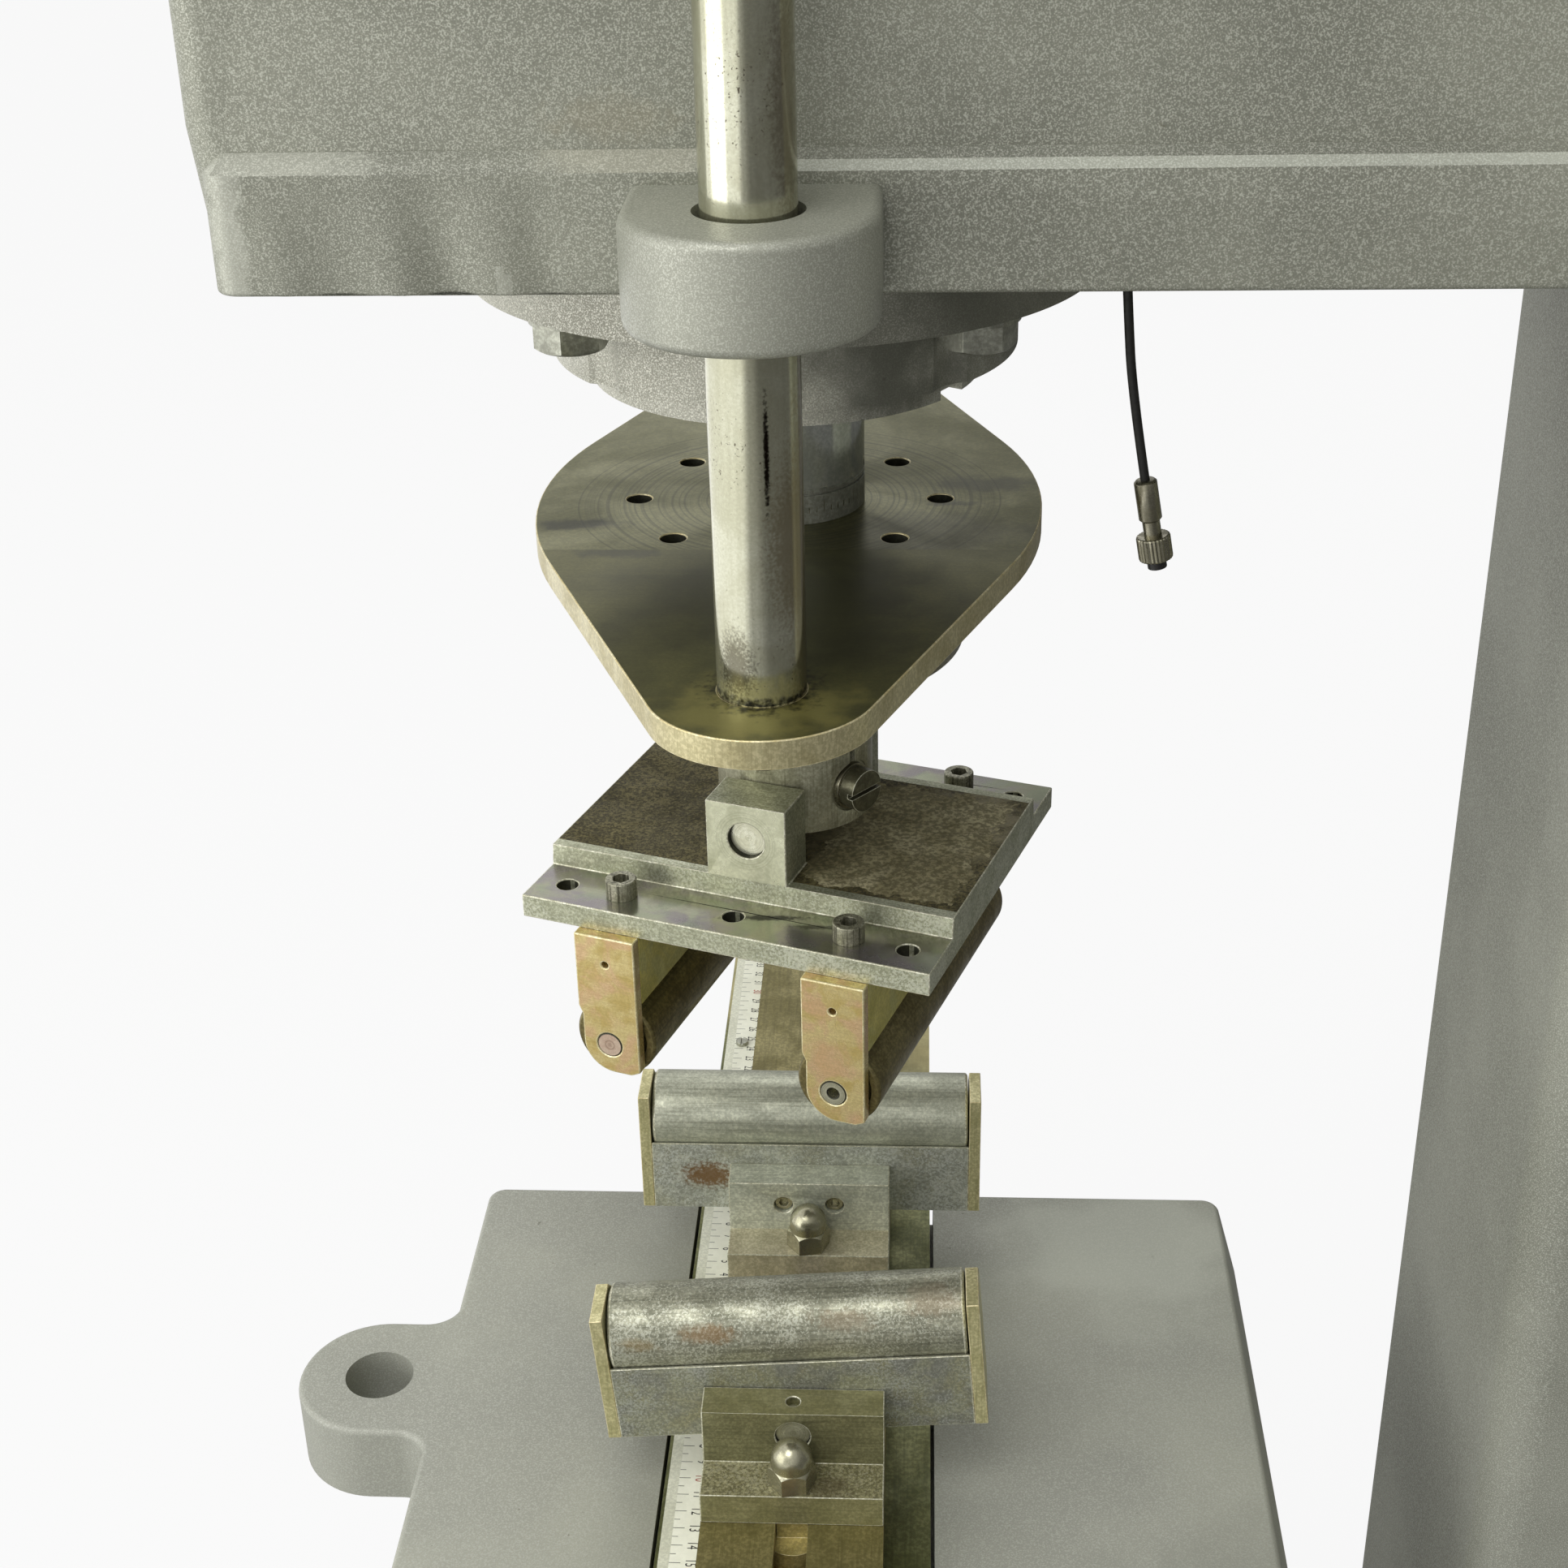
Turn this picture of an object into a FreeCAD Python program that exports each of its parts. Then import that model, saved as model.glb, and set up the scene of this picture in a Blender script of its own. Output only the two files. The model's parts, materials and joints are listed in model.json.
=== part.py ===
import FreeCAD, Part
import math
import os

# Flexural strength testing machine, C-frame type, in millimetres.
# The origin is where the load axis meets the floor, +X runs to the column,
# +Y runs along the support rail away from the operator, and +Z is up.

V = FreeCAD.Vector
UP = V(0, 0, 1)

# Fits and clearances
running_gap = 0.05          # radial play of a shaft in its bore
slide_gap = 0.10            # play under a support foot and over a T-head
face_gap = 0.30             # air between two faces that move past each other
roller_end_gap = 0.70       # play at each end of a roller
roller_seat_gap = 0.30      # air between a lower roller and its groove

# Base plate on the floor
base_plate_thickness = 40.0
base_plate_left = 150.0     # from the load axis
base_plate_right = 570.0
base_plate_half_depth = 175.0
base_plate_corner = 30.0
anchor_hole_radius = 11.0
anchor_hole_inset = 32.0

# Table with its bolting ear
table_top_height = 440.0    # above the floor
table_thickness = 40.0
table_left = 171.0
table_right = 207.0
table_back = 108.0
table_front = 182.0
table_corner = 8.0
table_flare = 11.0          # how far the cast sides lean out at the bottom
table_edge_round = 3.0
ear_reach = 30.0            # from the table edge to the ear hole
ear_offset = 36.5           # from the load axis towards the operator
ear_radius = 38.0
ear_hole_radius = 16.0
ear_fillet = 15.0

# Pedestal under the table
pedestal_left = 115.0
pedestal_right = 145.0
pedestal_front = 135.0
pedestal_back = 65.0
frame_wall = 18.0           # cast wall of the pedestal and column
frame_flange = 30.0         # how far a flange stands out
frame_flange_thickness = 22.0
frame_corner = 20.0

# Column
column_gap = 300.0          # load axis to the column's inner face
column_width = 220.0
column_half_depth = 105.0

# Frame bolts
frame_bolt_radius = 8.0
pedestal_bolt_count = 2     # along each flange
column_bolt_count = 3
frame_bolt_head_flats = 24.0
frame_bolt_head_height = 10.0
frame_bolt_engagement = 28.0

# Upper arm
arm_clearance = 550.0       # table top to the arm's underside
arm_height = 250.0
arm_floor = 26.0
arm_roof = 22.0
arm_wall = 18.0
arm_half_depth = 139.5
arm_left = 177.0
arm_left_flare = 6.0
arm_flare_height = 52.0
arm_top_round = 60.0
arm_edge_round = 12.0
arm_bottom_round = 1.5
skirt_height = 45.0
skirt_thickness = 6.5
skirt_corner = 9.0
skirt_ledge = 6.0           # height and depth of the sloping ledge
boss_radius = 40.0
boss_height = 35.0
boss_edge_round = 3.5
boss_bore_radius = 17.5

# Support rail
rail_half_length = 400.0
rail_width = 118.0
rail_depth = 25.0
rail_channel_gap = 1.7
slot_bar_width = 78.0
slot_bar_rise = 17.5
slot_bar_sink = 12.0
slot_width = 14.0
slot_lip = 10.0
slot_channel_width = 24.0
slot_channel_height = 10.5
ruler_width = 18.0
ruler_thickness = 0.8
ruler_gap = 0.4             # between the ruler and the slot bar
ruler_screw_pitch = 245.0
ruler_screw_head_radius = 3.5
ruler_screw_head_height = 2.2
ruler_screw_radius = 2.0
ruler_screw_length = 10.0
rail_screw_radius = 5.0
rail_screw_head_radius = 8.0
rail_screw_head_height = 10.0
rail_screw_offset = 48.5    # from the rail's middle line
rail_screw_pitch = 55.0
rail_screw_middle = -35.0   # the middle row's distance from the load axis
rail_screw_length = 30.0
slot_screw_radius = 3.0
slot_screw_head_radius = 5.0
slot_screw_head_height = 6.0
slot_screw_sink = 7.0
slot_screw_length = 12.0
slot_screw_pitch = 136.0
side_screw_offset = 26.0    # from the slot's middle line
side_screw_sink = 6.5
side_screw_length = 20.0

# Hydraulic cylinder
gland_radius = 120.0
gland_height = 26.5
gland_hub_radius = 89.0
gland_hub_height = 31.5
gland_nose_radius = 75.0
gland_nose_height = 10.5
gland_spigot_height = 20.0
pry_notch_width = 15.0
pry_notch_height = 4.0
pry_notch_depth = 6.0
pry_notch_turn = -32.0
flange_bolt_circle = 102.0
flange_bolt_radius = 8.0
flange_bolt_flats = 24.0
flange_bolt_head = 10.0
flange_washer_radius = 15.0
flange_washer_thickness = 3.0
flange_bolt_engagement = 20.0
barrel_bore_radius = 62.5
barrel_wall = 17.5
barrel_gap = 1.0
barrel_recess = 10.0        # the barrel's top stops this far below the arm's top
cap_radius = 105.0
cap_thickness = 25.0
cap_bolt_circle = 92.0
cap_bolt_count = 8
cap_bolt_radius = 5.0
cap_bolt_head_radius = 8.0
cap_bolt_head_height = 10.0
cap_bolt_engagement = 16.0
bush_wall = 4.0
bush_height = 30.0
wiper_wall = 5.0
wiper_height = 8.0
union_thread_radius = 8.0
union_bore_radius = 4.0
union_flats = 22.0
lower_union_turn = 67.5     # where the lower oil union stands round the cylinder
union_body_height = 14.0
union_stub_height = 18.0
union_engagement = 12.0

# Ram
piston_radius = 30.0
piston_head_height = 40.0
piston_head_gap = 0.10
piston_head_lift = 98.0     # arm underside to the piston head, at rest
piston_seal_depth = 5.0
piston_seal_height = 8.0
mark_ring_height = 14.0
mark_ring_groove = 1.0
spigot_radius = 18.0        # the piston rod's end in the ring and the guide plate
ram_drop = 124.0            # arm underside down to the guide plate's top
guide_plate_thickness = 10.5
guide_spacing = 177.0       # load axis to a guide rod
guide_tip_radius = 39.5
guide_side_reach = 100.0
guide_edge_turn = 22.0      # lean of the plate's long edges, degrees
guide_rod_radius = 15.0
guide_rod_length = 325.0
guide_rod_chamfer = 2.0
guide_screw_radius = 6.0
guide_screw_depth = 24.0
guide_screw_head_radius = 9.0
guide_screw_head_height = 12.0
guide_washer_radius = 17.0
guide_washer_thickness = 4.0
tool_hole_circle = 60.0
tool_hole_radius = 5.1
tool_hole_count = 8
hub_radius = 70.0
hub_height = 49.5
hub_screw_circle = 45.0
hub_screw_radius = 4.0
hub_screw_head_radius = 6.5
hub_screw_head_height = 8.0
hub_screw_engagement = 8.0
hub_screw_turn = 22.5
spindle_radius = 20.0
spindle_length = 42.0

# Swivelling head sleeve
head_turn = -19.2           # the head's turn about the load axis in the photo
sleeve_radius = 32.5
sleeve_length = 74.5
sleeve_flat = 32.0          # load axis to a side flat
sleeve_slit_width = 3.0
sleeve_slit_turn = -40.0
clamp_drop = 58.0           # hub underside to the clamp screw
clamp_radius = 4.0
clamp_head_radius = 9.0
clamp_head_length = 7.0
clamp_washer_radius = 10.0
clamp_washer_thickness = 2.5
clamp_reach = 12.0
eye_radius = 15.0
eye_half_width = 15.0

# Loading plate
pin_drop = 68.0             # hub underside to the tilt pin's axis
pin_radius = 8.0
pin_recess = 3.0
pin_above_deck = 18.0
lug_width = 35.0
lug_thickness = 21.7
lug_rise = 34.0
plate_width = 178.0
plate_depth = 166.0
plate_thickness = 10.0
deck_depth = 108.0
deck_rise = 9.0
plate_hole_row = 68.8
plate_hole_column = 75.0
plate_hole_radius = 4.5
plate_screw_column = 50.0
plate_screw_radius = 4.0
plate_screw_head_radius = 6.5
plate_screw_head_height = 8.0
plate_screw_engagement = 14.0

# Upper rollers and their holders
holder_width = 27.0
holder_bar_height = 32.0
holder_end_thickness = 5.5
holder_end_height = 65.5
holder_waist = 1.7
holder_waist_height = 35.0
upper_roller_radius = 18.0
upper_roller_drop = 52.0    # plate underside to the roller's axis
upper_roller_recess = 14.0
upper_roller_recess_depth = 3.0
axle_radius = 5.6
axle_centre_radius = 2.4
axle_centre_depth = 8.0
end_pin_radius = 1.5
end_pin_rise = 39.0         # roller axis to the small hole of an end plate

# Lower supports
front_support_place = -107.0   # back face of the front clamp block
back_support_place = 52.0
block_width = 78.0
block_height = 42.8
block_upright = 16.0
block_foot = 20.0
block_foot_height = 15.5
stud_radius = 6.0
stud_offset = 10.8          # upright's face to the stud's axis
t_head_length = 34.0
t_head_play = 0.5
t_head_height = 9.0
stud_nut_flats = 18.0
stud_nut_hex = 10.0
stud_nut_height = 22.0
stud_nut_dome = 8.8
stud_play = 0.5
pivot_rise = 30.5           # slot bar top to the pivot pin's axis
pivot_radius = 7.5
pivot_recess = 2.0
pivot_depth = 26.0
grub_hole_radius = 3.0
block_screw_offset = 12.4
block_screw_rise = 30.0
block_screw_radius = 2.65
block_screw_head_radius = 4.25
block_screw_head_height = 5.0
block_screw_sink = 7.0
block_screw_play = 0.35
block_screw_depth = 15.0
cradle_length = 155.0
cradle_depth = 38.0
cradle_height = 38.0
cradle_rock = -4.5          # the front cradle's turn about +Y in the photo
front_cradle_lift = 18.5    # slot bar top to the front cradle's underside
back_cradle_lift = 15.8
lower_roller_radius = 19.0
lower_roller_rise = 8.0     # cradle top to the roller's axis
cradle_end_thickness = 5.5
cradle_end_chamfer = 13.0

# Signal cable
cable_radius = 1.75
cable_x = 123.4
cable_y = -60.0
gland_nut_flats = 14.0
gland_nut_height = 7.0
connector_body_radius = 4.3
connector_body_length = 16.0
connector_neck_radius = 3.3
connector_neck_length = 6.0
connector_ring_radius = 6.4
connector_ring_length = 9.5
connector_tip_radius = 3.6
connector_tip_length = 3.5

# Levels worked out from the sizes above
table_top = table_top_height
table_bottom = table_top - table_thickness
arm_bottom = table_top + arm_clearance
arm_top = arm_bottom + arm_height
gland_bottom = arm_bottom - gland_height
hub_face = gland_bottom - gland_hub_height
nose_face = hub_face - gland_nose_height
guide_top = arm_bottom - ram_drop
guide_bottom = guide_top - guide_plate_thickness
hub_bottom = guide_bottom - hub_height
pin_level = hub_bottom - pin_drop
deck_top = pin_level - pin_above_deck
plate_top = deck_top - deck_rise
plate_bottom = plate_top - plate_thickness
upper_axis = plate_bottom - upper_roller_drop
slot_bar_top = table_top + slot_bar_rise
lip_bottom = slot_bar_top - slot_lip
channel_floor = lip_bottom - slot_channel_height
side_screw_seat = table_top - slot_bar_sink + side_screw_sink
slot_screw_seat = channel_floor - slot_screw_sink
skirt_half_depth = arm_half_depth + skirt_thickness
holder_half_length = plate_depth / 2 - 0.5
column_outer = column_gap + column_width


def box(x0, x1, y0, y1, z0, z1):
    return Part.makeBox(x1 - x0, y1 - y0, z1 - z0, V(x0, y0, z0))


def rod(radius, z0, z1, x=0.0, y=0.0):
    return Part.makeCylinder(radius, z1 - z0, V(x, y, z0))


def ring(outer, inner, z0, z1, x=0.0, y=0.0):
    return rod(outer, z0, z1, x, y).cut(rod(inner, z0 - 1, z1 + 1, x, y))


def bar_along(radius, start, direction, length):
    return Part.makeCylinder(radius, length, start, direction)


def hexagon(flats, z0, z1, x=0.0, y=0.0, turn=0.0):
    reach = flats / math.sqrt(3)
    corners = []
    for step in range(7):
        angle = math.radians(60 * step + turn)
        corners.append(V(x + reach * math.cos(angle), y + reach * math.sin(angle), z0))
    face = Part.Face(Part.makePolygon(corners))
    return face.extrude(V(0, 0, z1 - z0))


def fuse(parts):
    whole = parts[0]
    for part in parts[1:]:
        whole = whole.fuse(part)
    return whole.removeSplitter()


def prism(points, along):
    face = Part.Face(Part.makePolygon(points + [points[0]]))
    return face.extrude(along)


def rounded_outline(x0, x1, y0, y1, radius, z):
    slant = radius * math.sqrt(0.5)
    near = radius - slant
    sides = [
        Part.LineSegment(V(x0 + radius, y0, z), V(x1 - radius, y0, z)),
        Part.Arc(V(x1 - radius, y0, z), V(x1 - near, y0 + near, z), V(x1, y0 + radius, z)),
        Part.LineSegment(V(x1, y0 + radius, z), V(x1, y1 - radius, z)),
        Part.Arc(V(x1, y1 - radius, z), V(x1 - near, y1 - near, z), V(x1 - radius, y1, z)),
        Part.LineSegment(V(x1 - radius, y1, z), V(x0 + radius, y1, z)),
        Part.Arc(V(x0 + radius, y1, z), V(x0 + near, y1 - near, z), V(x0, y1 - radius, z)),
        Part.LineSegment(V(x0, y1 - radius, z), V(x0, y0 + radius, z)),
        Part.Arc(V(x0, y0 + radius, z), V(x0 + near, y0 + near, z), V(x0 + radius, y0, z)),
    ]
    return Part.Wire([side.toShape() for side in sides])


def rounded_box(x0, x1, y0, y1, z0, z1, radius):
    face = Part.Face(rounded_outline(x0, x1, y0, y1, radius, z0))
    return face.extrude(V(0, 0, z1 - z0))


def turned(shape, angle, axis=UP, centre=V(0, 0, 0)):
    copy = shape.copy()
    copy.rotate(centre, axis, angle)
    return copy


def mirrored_y(shape):
    return shape.mirror(V(0, 0, 0), V(0, 1, 0))


def circle_places(radius, count, start=0.0):
    places = []
    for step in range(count):
        angle = math.radians(start + 360.0 * step / count)
        places.append((radius * math.cos(angle), radius * math.sin(angle)))
    return places


def save(name, shape):
    if isinstance(shape, list):
        shape = Part.makeCompound(shape)
    for solid in shape.Solids:
        if not solid.isValid():
            raise ValueError("bad solid in " + name)
    shape.exportStep("parts/" + name + ".step")
    print(name, len(shape.Solids), round(shape.Volume / 1000.0, 1), "cm3")


def socket_screw(radius, length, head_radius, head_height, x, y, seat):
    """A socket head cap screw that points down from its seat."""
    shank = rod(radius, seat - length, seat, x, y)
    head = rod(head_radius, seat, seat + head_height, x, y)
    socket = hexagon(head_radius, seat + 0.4 * head_height, seat + head_height + 1, x, y)
    rim = head.Edges[0].Curve.Radius * 0.06
    head = head.makeChamfer(rim, [edge for edge in head.Edges if edge.BoundBox.ZMin > seat + 0.5])
    return shank.fuse(head).removeSplitter().cut(socket)


def hex_bolt(radius, length, flats, head_height, x, y, seat, turn=0.0):
    """A hexagon bolt that points up, with its head below the seat."""
    shank = rod(radius, seat, seat + length, x, y)
    head = hexagon(flats, seat - head_height, seat, x, y, turn)
    cone_foot = flats / 2 * 0.98
    cone = Part.makeCone(cone_foot, cone_foot + head_height * 1.8, head_height, V(x, y, seat - head_height))
    return shank.fuse(head.common(cone)).removeSplitter()


# Frame: base plate, pedestal, column and arm
def base_plate():
    plate = rounded_box(-base_plate_left, base_plate_right, -base_plate_half_depth,
                        base_plate_half_depth, 0, base_plate_thickness, base_plate_corner)
    for x in (-base_plate_left + anchor_hole_inset, base_plate_right - anchor_hole_inset):
        for y in (-base_plate_half_depth + anchor_hole_inset, base_plate_half_depth - anchor_hole_inset):
            plate = plate.cut(rod(anchor_hole_radius, -1, base_plate_thickness + 1, x, y))
    return plate


def flanged_post(x0, x1, y0, y1, z0, z1):
    """A hollow cast post with a flange at its foot and at its head."""
    post = rounded_box(x0, x1, y0, y1, z0, z1, frame_corner)
    for low, high in ((z0, z0 + frame_flange_thickness), (z1 - frame_flange_thickness, z1)):
        flange = rounded_box(x0, x1, y0 - frame_flange, y1 + frame_flange, low, high, frame_corner)
        post = post.fuse(flange)
    inner = box(x0 + frame_wall, x1 - frame_wall, y0 + frame_wall, y1 - frame_wall, z0 - 1, z1 + 1)
    return post.removeSplitter().cut(inner)


def post_bolt_places(x0, x1, y0, y1, columns):
    step = (x1 - x0 - 2 * frame_flange) / (columns - 1)
    rows = (y0 - frame_flange / 2, y1 + frame_flange / 2)
    return [(x0 + frame_flange + step * column, y) for column in range(columns) for y in rows]


pedestal_box = (-pedestal_left, pedestal_right, -pedestal_front, pedestal_back)
column_box = (column_gap, column_outer, -column_half_depth, column_half_depth)
post_levels = ((pedestal_box, table_bottom, pedestal_bolt_count), (column_box, arm_bottom, column_bolt_count))


def frame_bolts():
    bolts = []
    for post, head_level, columns in post_levels:
        for x, y in post_bolt_places(*post, columns):
            seat = head_level - frame_flange_thickness
            length = frame_flange_thickness + frame_bolt_engagement * 0.75
            bolts.append(hex_bolt(frame_bolt_radius, length, frame_bolt_head_flats,
                                  frame_bolt_head_height, x, y, seat))
            foot = base_plate_thickness + frame_flange_thickness
            length = frame_flange_thickness + frame_bolt_engagement
            down = hex_bolt(frame_bolt_radius, length, frame_bolt_head_flats,
                            frame_bolt_head_height, x, -y, foot)
            bolts.append(turned(down, 180, V(1, 0, 0), V(x, 0, foot)))
    return bolts


def bolt_holes(shape):
    cutters = frame_bolts()
    for cutter in cutters:
        if cutter.BoundBox.intersect(shape.BoundBox):
            shape = shape.cut(cutter)
    return shape


def top_rounded(shape):
    rim = [edge for edge in shape.Edges if edge.BoundBox.ZMin > table_top - 0.01]
    return shape.makeFillet(table_edge_round, rim)


def table_ear():
    """The bolting ear, with hollow corners that run into the table's side."""
    tip = -table_left - ear_reach
    neck = -table_left - ear_fillet
    inside = -table_left + table_corner * 2
    low = -ear_offset - ear_radius
    high = -ear_offset + ear_radius
    near = ear_fillet * math.sqrt(0.5)
    z = table_bottom
    sides = [
        Part.LineSegment(V(inside, low - ear_fillet, z), V(-table_left, low - ear_fillet, z)),
        Part.Arc(V(-table_left, low - ear_fillet, z), V(neck + near, low - ear_fillet + near, z), V(neck, low, z)),
        Part.LineSegment(V(neck, low, z), V(tip, low, z)),
        Part.Arc(V(tip, low, z), V(tip - ear_radius, -ear_offset, z), V(tip, high, z)),
        Part.LineSegment(V(tip, high, z), V(neck, high, z)),
        Part.Arc(V(neck, high, z), V(neck + near, high + ear_fillet - near, z), V(-table_left, high + ear_fillet, z)),
        Part.LineSegment(V(-table_left, high + ear_fillet, z), V(inside, high + ear_fillet, z)),
        Part.LineSegment(V(inside, high + ear_fillet, z), V(inside, low - ear_fillet, z)),
    ]
    face = Part.Face(Part.Wire([side.toShape() for side in sides]))
    return face.extrude(V(0, 0, table_thickness))


def table():
    low = rounded_outline(-table_left - table_flare, table_right + table_flare, -table_front - table_flare,
                          table_back + table_flare, table_corner + table_flare, table_bottom)
    high = rounded_outline(-table_left, table_right, -table_front, table_back, table_corner, table_top)
    slab = Part.makeLoft([low, high], True, True)
    shape = fuse([top_rounded(slab), top_rounded(table_ear())])
    ear_x = -table_left - ear_reach
    shape = shape.cut(rod(ear_hole_radius, table_bottom - 1, table_top + 1, ear_x, -ear_offset))
    half = rail_width / 2 + rail_channel_gap
    channel = box(-half, half, -table_front - 50, table_back + 50, table_top - rail_depth, table_top + 1)
    shape = shape.cut(channel)
    for x, y in rail_screw_places():
        shape = shape.cut(rod(rail_screw_radius, table_bottom - 1, table_top, x, y))
    return bolt_holes(shape)


def arm():
    left = -arm_left
    wide = -arm_left - arm_left_flare
    half = arm_half_depth
    outline = [
        Part.LineSegment(V(left, -half, arm_bottom), V(column_outer, -half, arm_bottom)),
        Part.LineSegment(V(column_outer, -half, arm_bottom), V(column_outer, -half, arm_top)),
        Part.LineSegment(V(column_outer, -half, arm_top), V(wide + arm_top_round, -half, arm_top)),
        Part.Arc(V(wide + arm_top_round, -half, arm_top),
                 V(wide + arm_top_round * (1 - math.sqrt(0.5)), -half, arm_top - arm_top_round * (1 - math.sqrt(0.5))),
                 V(wide, -half, arm_top - arm_top_round)),
        Part.LineSegment(V(wide, -half, arm_top - arm_top_round), V(wide, -half, arm_bottom + arm_flare_height)),
        Part.LineSegment(V(wide, -half, arm_bottom + arm_flare_height), V(left, -half, arm_bottom)),
    ]
    face = Part.Face(Part.Wire([side.toShape() for side in outline]))
    body = face.extrude(V(0, 2 * half, 0))
    ends = [edge for edge in body.Edges
            if edge.BoundBox.XMax < wide + arm_top_round + 1 and edge.BoundBox.YLength < 0.01
            and edge.BoundBox.ZLength > 1]
    body = body.makeFillet(arm_edge_round, ends)
    skirt = rounded_box(left, column_outer, -skirt_half_depth, skirt_half_depth,
                        arm_bottom, arm_bottom + skirt_height, skirt_corner)
    skirt = skirt.makeChamfer(skirt_ledge, [edge for edge in skirt.Edges if edge.BoundBox.ZMin > arm_bottom + 1])
    skirt = skirt.makeFillet(arm_bottom_round, [edge for edge in skirt.Edges
                                                if edge.BoundBox.ZMax < arm_bottom + 1])
    body = body.fuse(skirt)
    for side in (-1, 1):
        body = body.fuse(boss(side))
    body = body.removeSplitter()
    inner_x = wide + arm_wall
    inner = box(left + arm_wall + arm_left_flare / 2, column_outer - arm_wall, -half + arm_wall, half - arm_wall,
                arm_bottom + arm_floor, arm_top - arm_roof)
    corner = box(inner_x - 50, wide + arm_top_round, -half, half, arm_top - arm_top_round, arm_top)
    body = body.cut(inner.cut(corner))
    window = box(column_gap + frame_wall, column_outer - frame_wall, -column_half_depth + frame_wall,
                 column_half_depth - frame_wall, arm_bottom - 1, arm_bottom + arm_floor + 1)
    body = body.cut(window)
    barrel_hole = barrel_bore_radius + barrel_wall + barrel_gap
    body = body.cut(rod(barrel_hole, arm_bottom - 1, arm_top + 1))
    for x, y in circle_places(flange_bolt_circle, 4, 45):
        body = body.cut(rod(flange_bolt_radius, arm_bottom - 1, arm_bottom + flange_bolt_engagement, x, y))
    for x, y in circle_places(cap_bolt_circle, cap_bolt_count):
        body = body.cut(rod(cap_bolt_radius, arm_top - cap_bolt_engagement, arm_top + 1, x, y))
    body = body.cut(rod(cable_radius + 0.5, arm_bottom - 1, arm_bottom + arm_floor + 1, cable_x, cable_y))
    return bolt_holes(body)


def boss(side):
    """A D-shaped guide boss on the arm's face."""
    y = side * guide_spacing
    inner = side * (arm_half_depth - 5)
    block = box(-boss_radius, boss_radius, min(y, inner), max(y, inner), arm_bottom, arm_bottom + boss_height)
    shape = rod(boss_radius, arm_bottom, arm_bottom + boss_height, 0, y).fuse(block).removeSplitter()
    rim = [edge for edge in shape.Edges
           if edge.BoundBox.ZLength < 0.01 and abs(edge.BoundBox.YMin - inner) + abs(edge.BoundBox.YMax - inner) > 1]
    shape = shape.makeFillet(boss_edge_round, rim)
    return shape.cut(rod(boss_bore_radius, arm_bottom - 1, arm_bottom + boss_height + 1, 0, y))


# Support rail
def rail_screw_places():
    places = []
    for x in (-rail_screw_offset, rail_screw_offset):
        for row in (-1, 0, 1):
            places.append((x, rail_screw_middle + row * rail_screw_pitch))
    return places


def slot_screw_places():
    return [(0.0, (step - 2.5) * slot_screw_pitch) for step in range(6)]


def rail_bar():
    half = rail_width / 2
    bar = box(-half, half, -rail_half_length, rail_half_length, table_top - rail_depth, table_top)
    seat = slot_bar_width / 2
    bar = bar.cut(box(-seat, seat, -rail_half_length - 1, rail_half_length + 1,
                      table_top - slot_bar_sink, table_top + 1))
    for x, y in rail_screw_places():
        bar = bar.cut(rod(rail_screw_radius, table_top - rail_depth - 1, table_bottom + rail_screw_length, x, y))
    for x, y in slot_screw_places():
        bar = bar.cut(rod(slot_screw_radius, slot_screw_seat - slot_screw_length, table_top, x, y))
    for x, y in ruler_screw_places():
        bar = bar.cut(rod(ruler_screw_radius, table_top + ruler_thickness - ruler_screw_length,
                          table_top + 1, x, y))
    return bar


def slot_bar():
    """A floor strip, two side strips and two lips that form the T-slot."""
    half = slot_bar_width / 2
    long = rail_half_length
    low = table_top - slot_bar_sink
    floor = box(-half, half, -long, long, low, channel_floor)
    for x, y in slot_screw_places():
        floor = floor.cut(rod(slot_screw_radius, low - 1, channel_floor + 1, x, y))
        floor = floor.cut(rod(slot_screw_head_radius, slot_screw_seat, channel_floor + 1, x, y))
    for x, y in side_screw_places():
        floor = floor.cut(rod(slot_screw_head_radius, low - 1, side_screw_seat, x, y))
    strips = [floor]
    for side in (-1, 1):
        outer = side * half
        for inner, bottom, top in ((side * slot_channel_width / 2, channel_floor, lip_bottom),
                                   (side * slot_width / 2, lip_bottom, slot_bar_top)):
            strips.append(box(min(inner, outer), max(inner, outer), -long, long, bottom, top))
    for x, y in side_screw_places():
        way = rod(slot_screw_radius, side_screw_seat - 1, side_screw_seat + side_screw_length, x, y)
        strips = [strip.cut(way) for strip in strips]
    return strips


def side_screw_places():
    return [(side * side_screw_offset, y) for side in (-1, 1) for _, y in slot_screw_places()]


def slot_bar_screws():
    screws = [socket_screw(slot_screw_radius, slot_screw_length, slot_screw_head_radius, slot_screw_head_height,
                           x, y, slot_screw_seat) for x, y in slot_screw_places()]
    for x, y in side_screw_places():
        screw = socket_screw(slot_screw_radius, side_screw_length, slot_screw_head_radius,
                             slot_screw_head_height, x, -y, side_screw_seat)
        screws.append(turned(screw, 180, V(1, 0, 0), V(x, 0, side_screw_seat)))
    return screws


ruler_right = -slot_bar_width / 2 - ruler_gap
ruler_middle = ruler_right - ruler_width / 2


def ruler_screw_places():
    return [(ruler_middle, side * ruler_screw_pitch) for side in (-1, 1)]


def ruler():
    strip = box(ruler_right - ruler_width, ruler_right, -rail_half_length, rail_half_length,
                table_top, table_top + ruler_thickness)
    for x, y in ruler_screw_places():
        strip = strip.cut(rod(ruler_screw_radius, table_top - 1, table_top + 2, x, y))
    return strip


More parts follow.
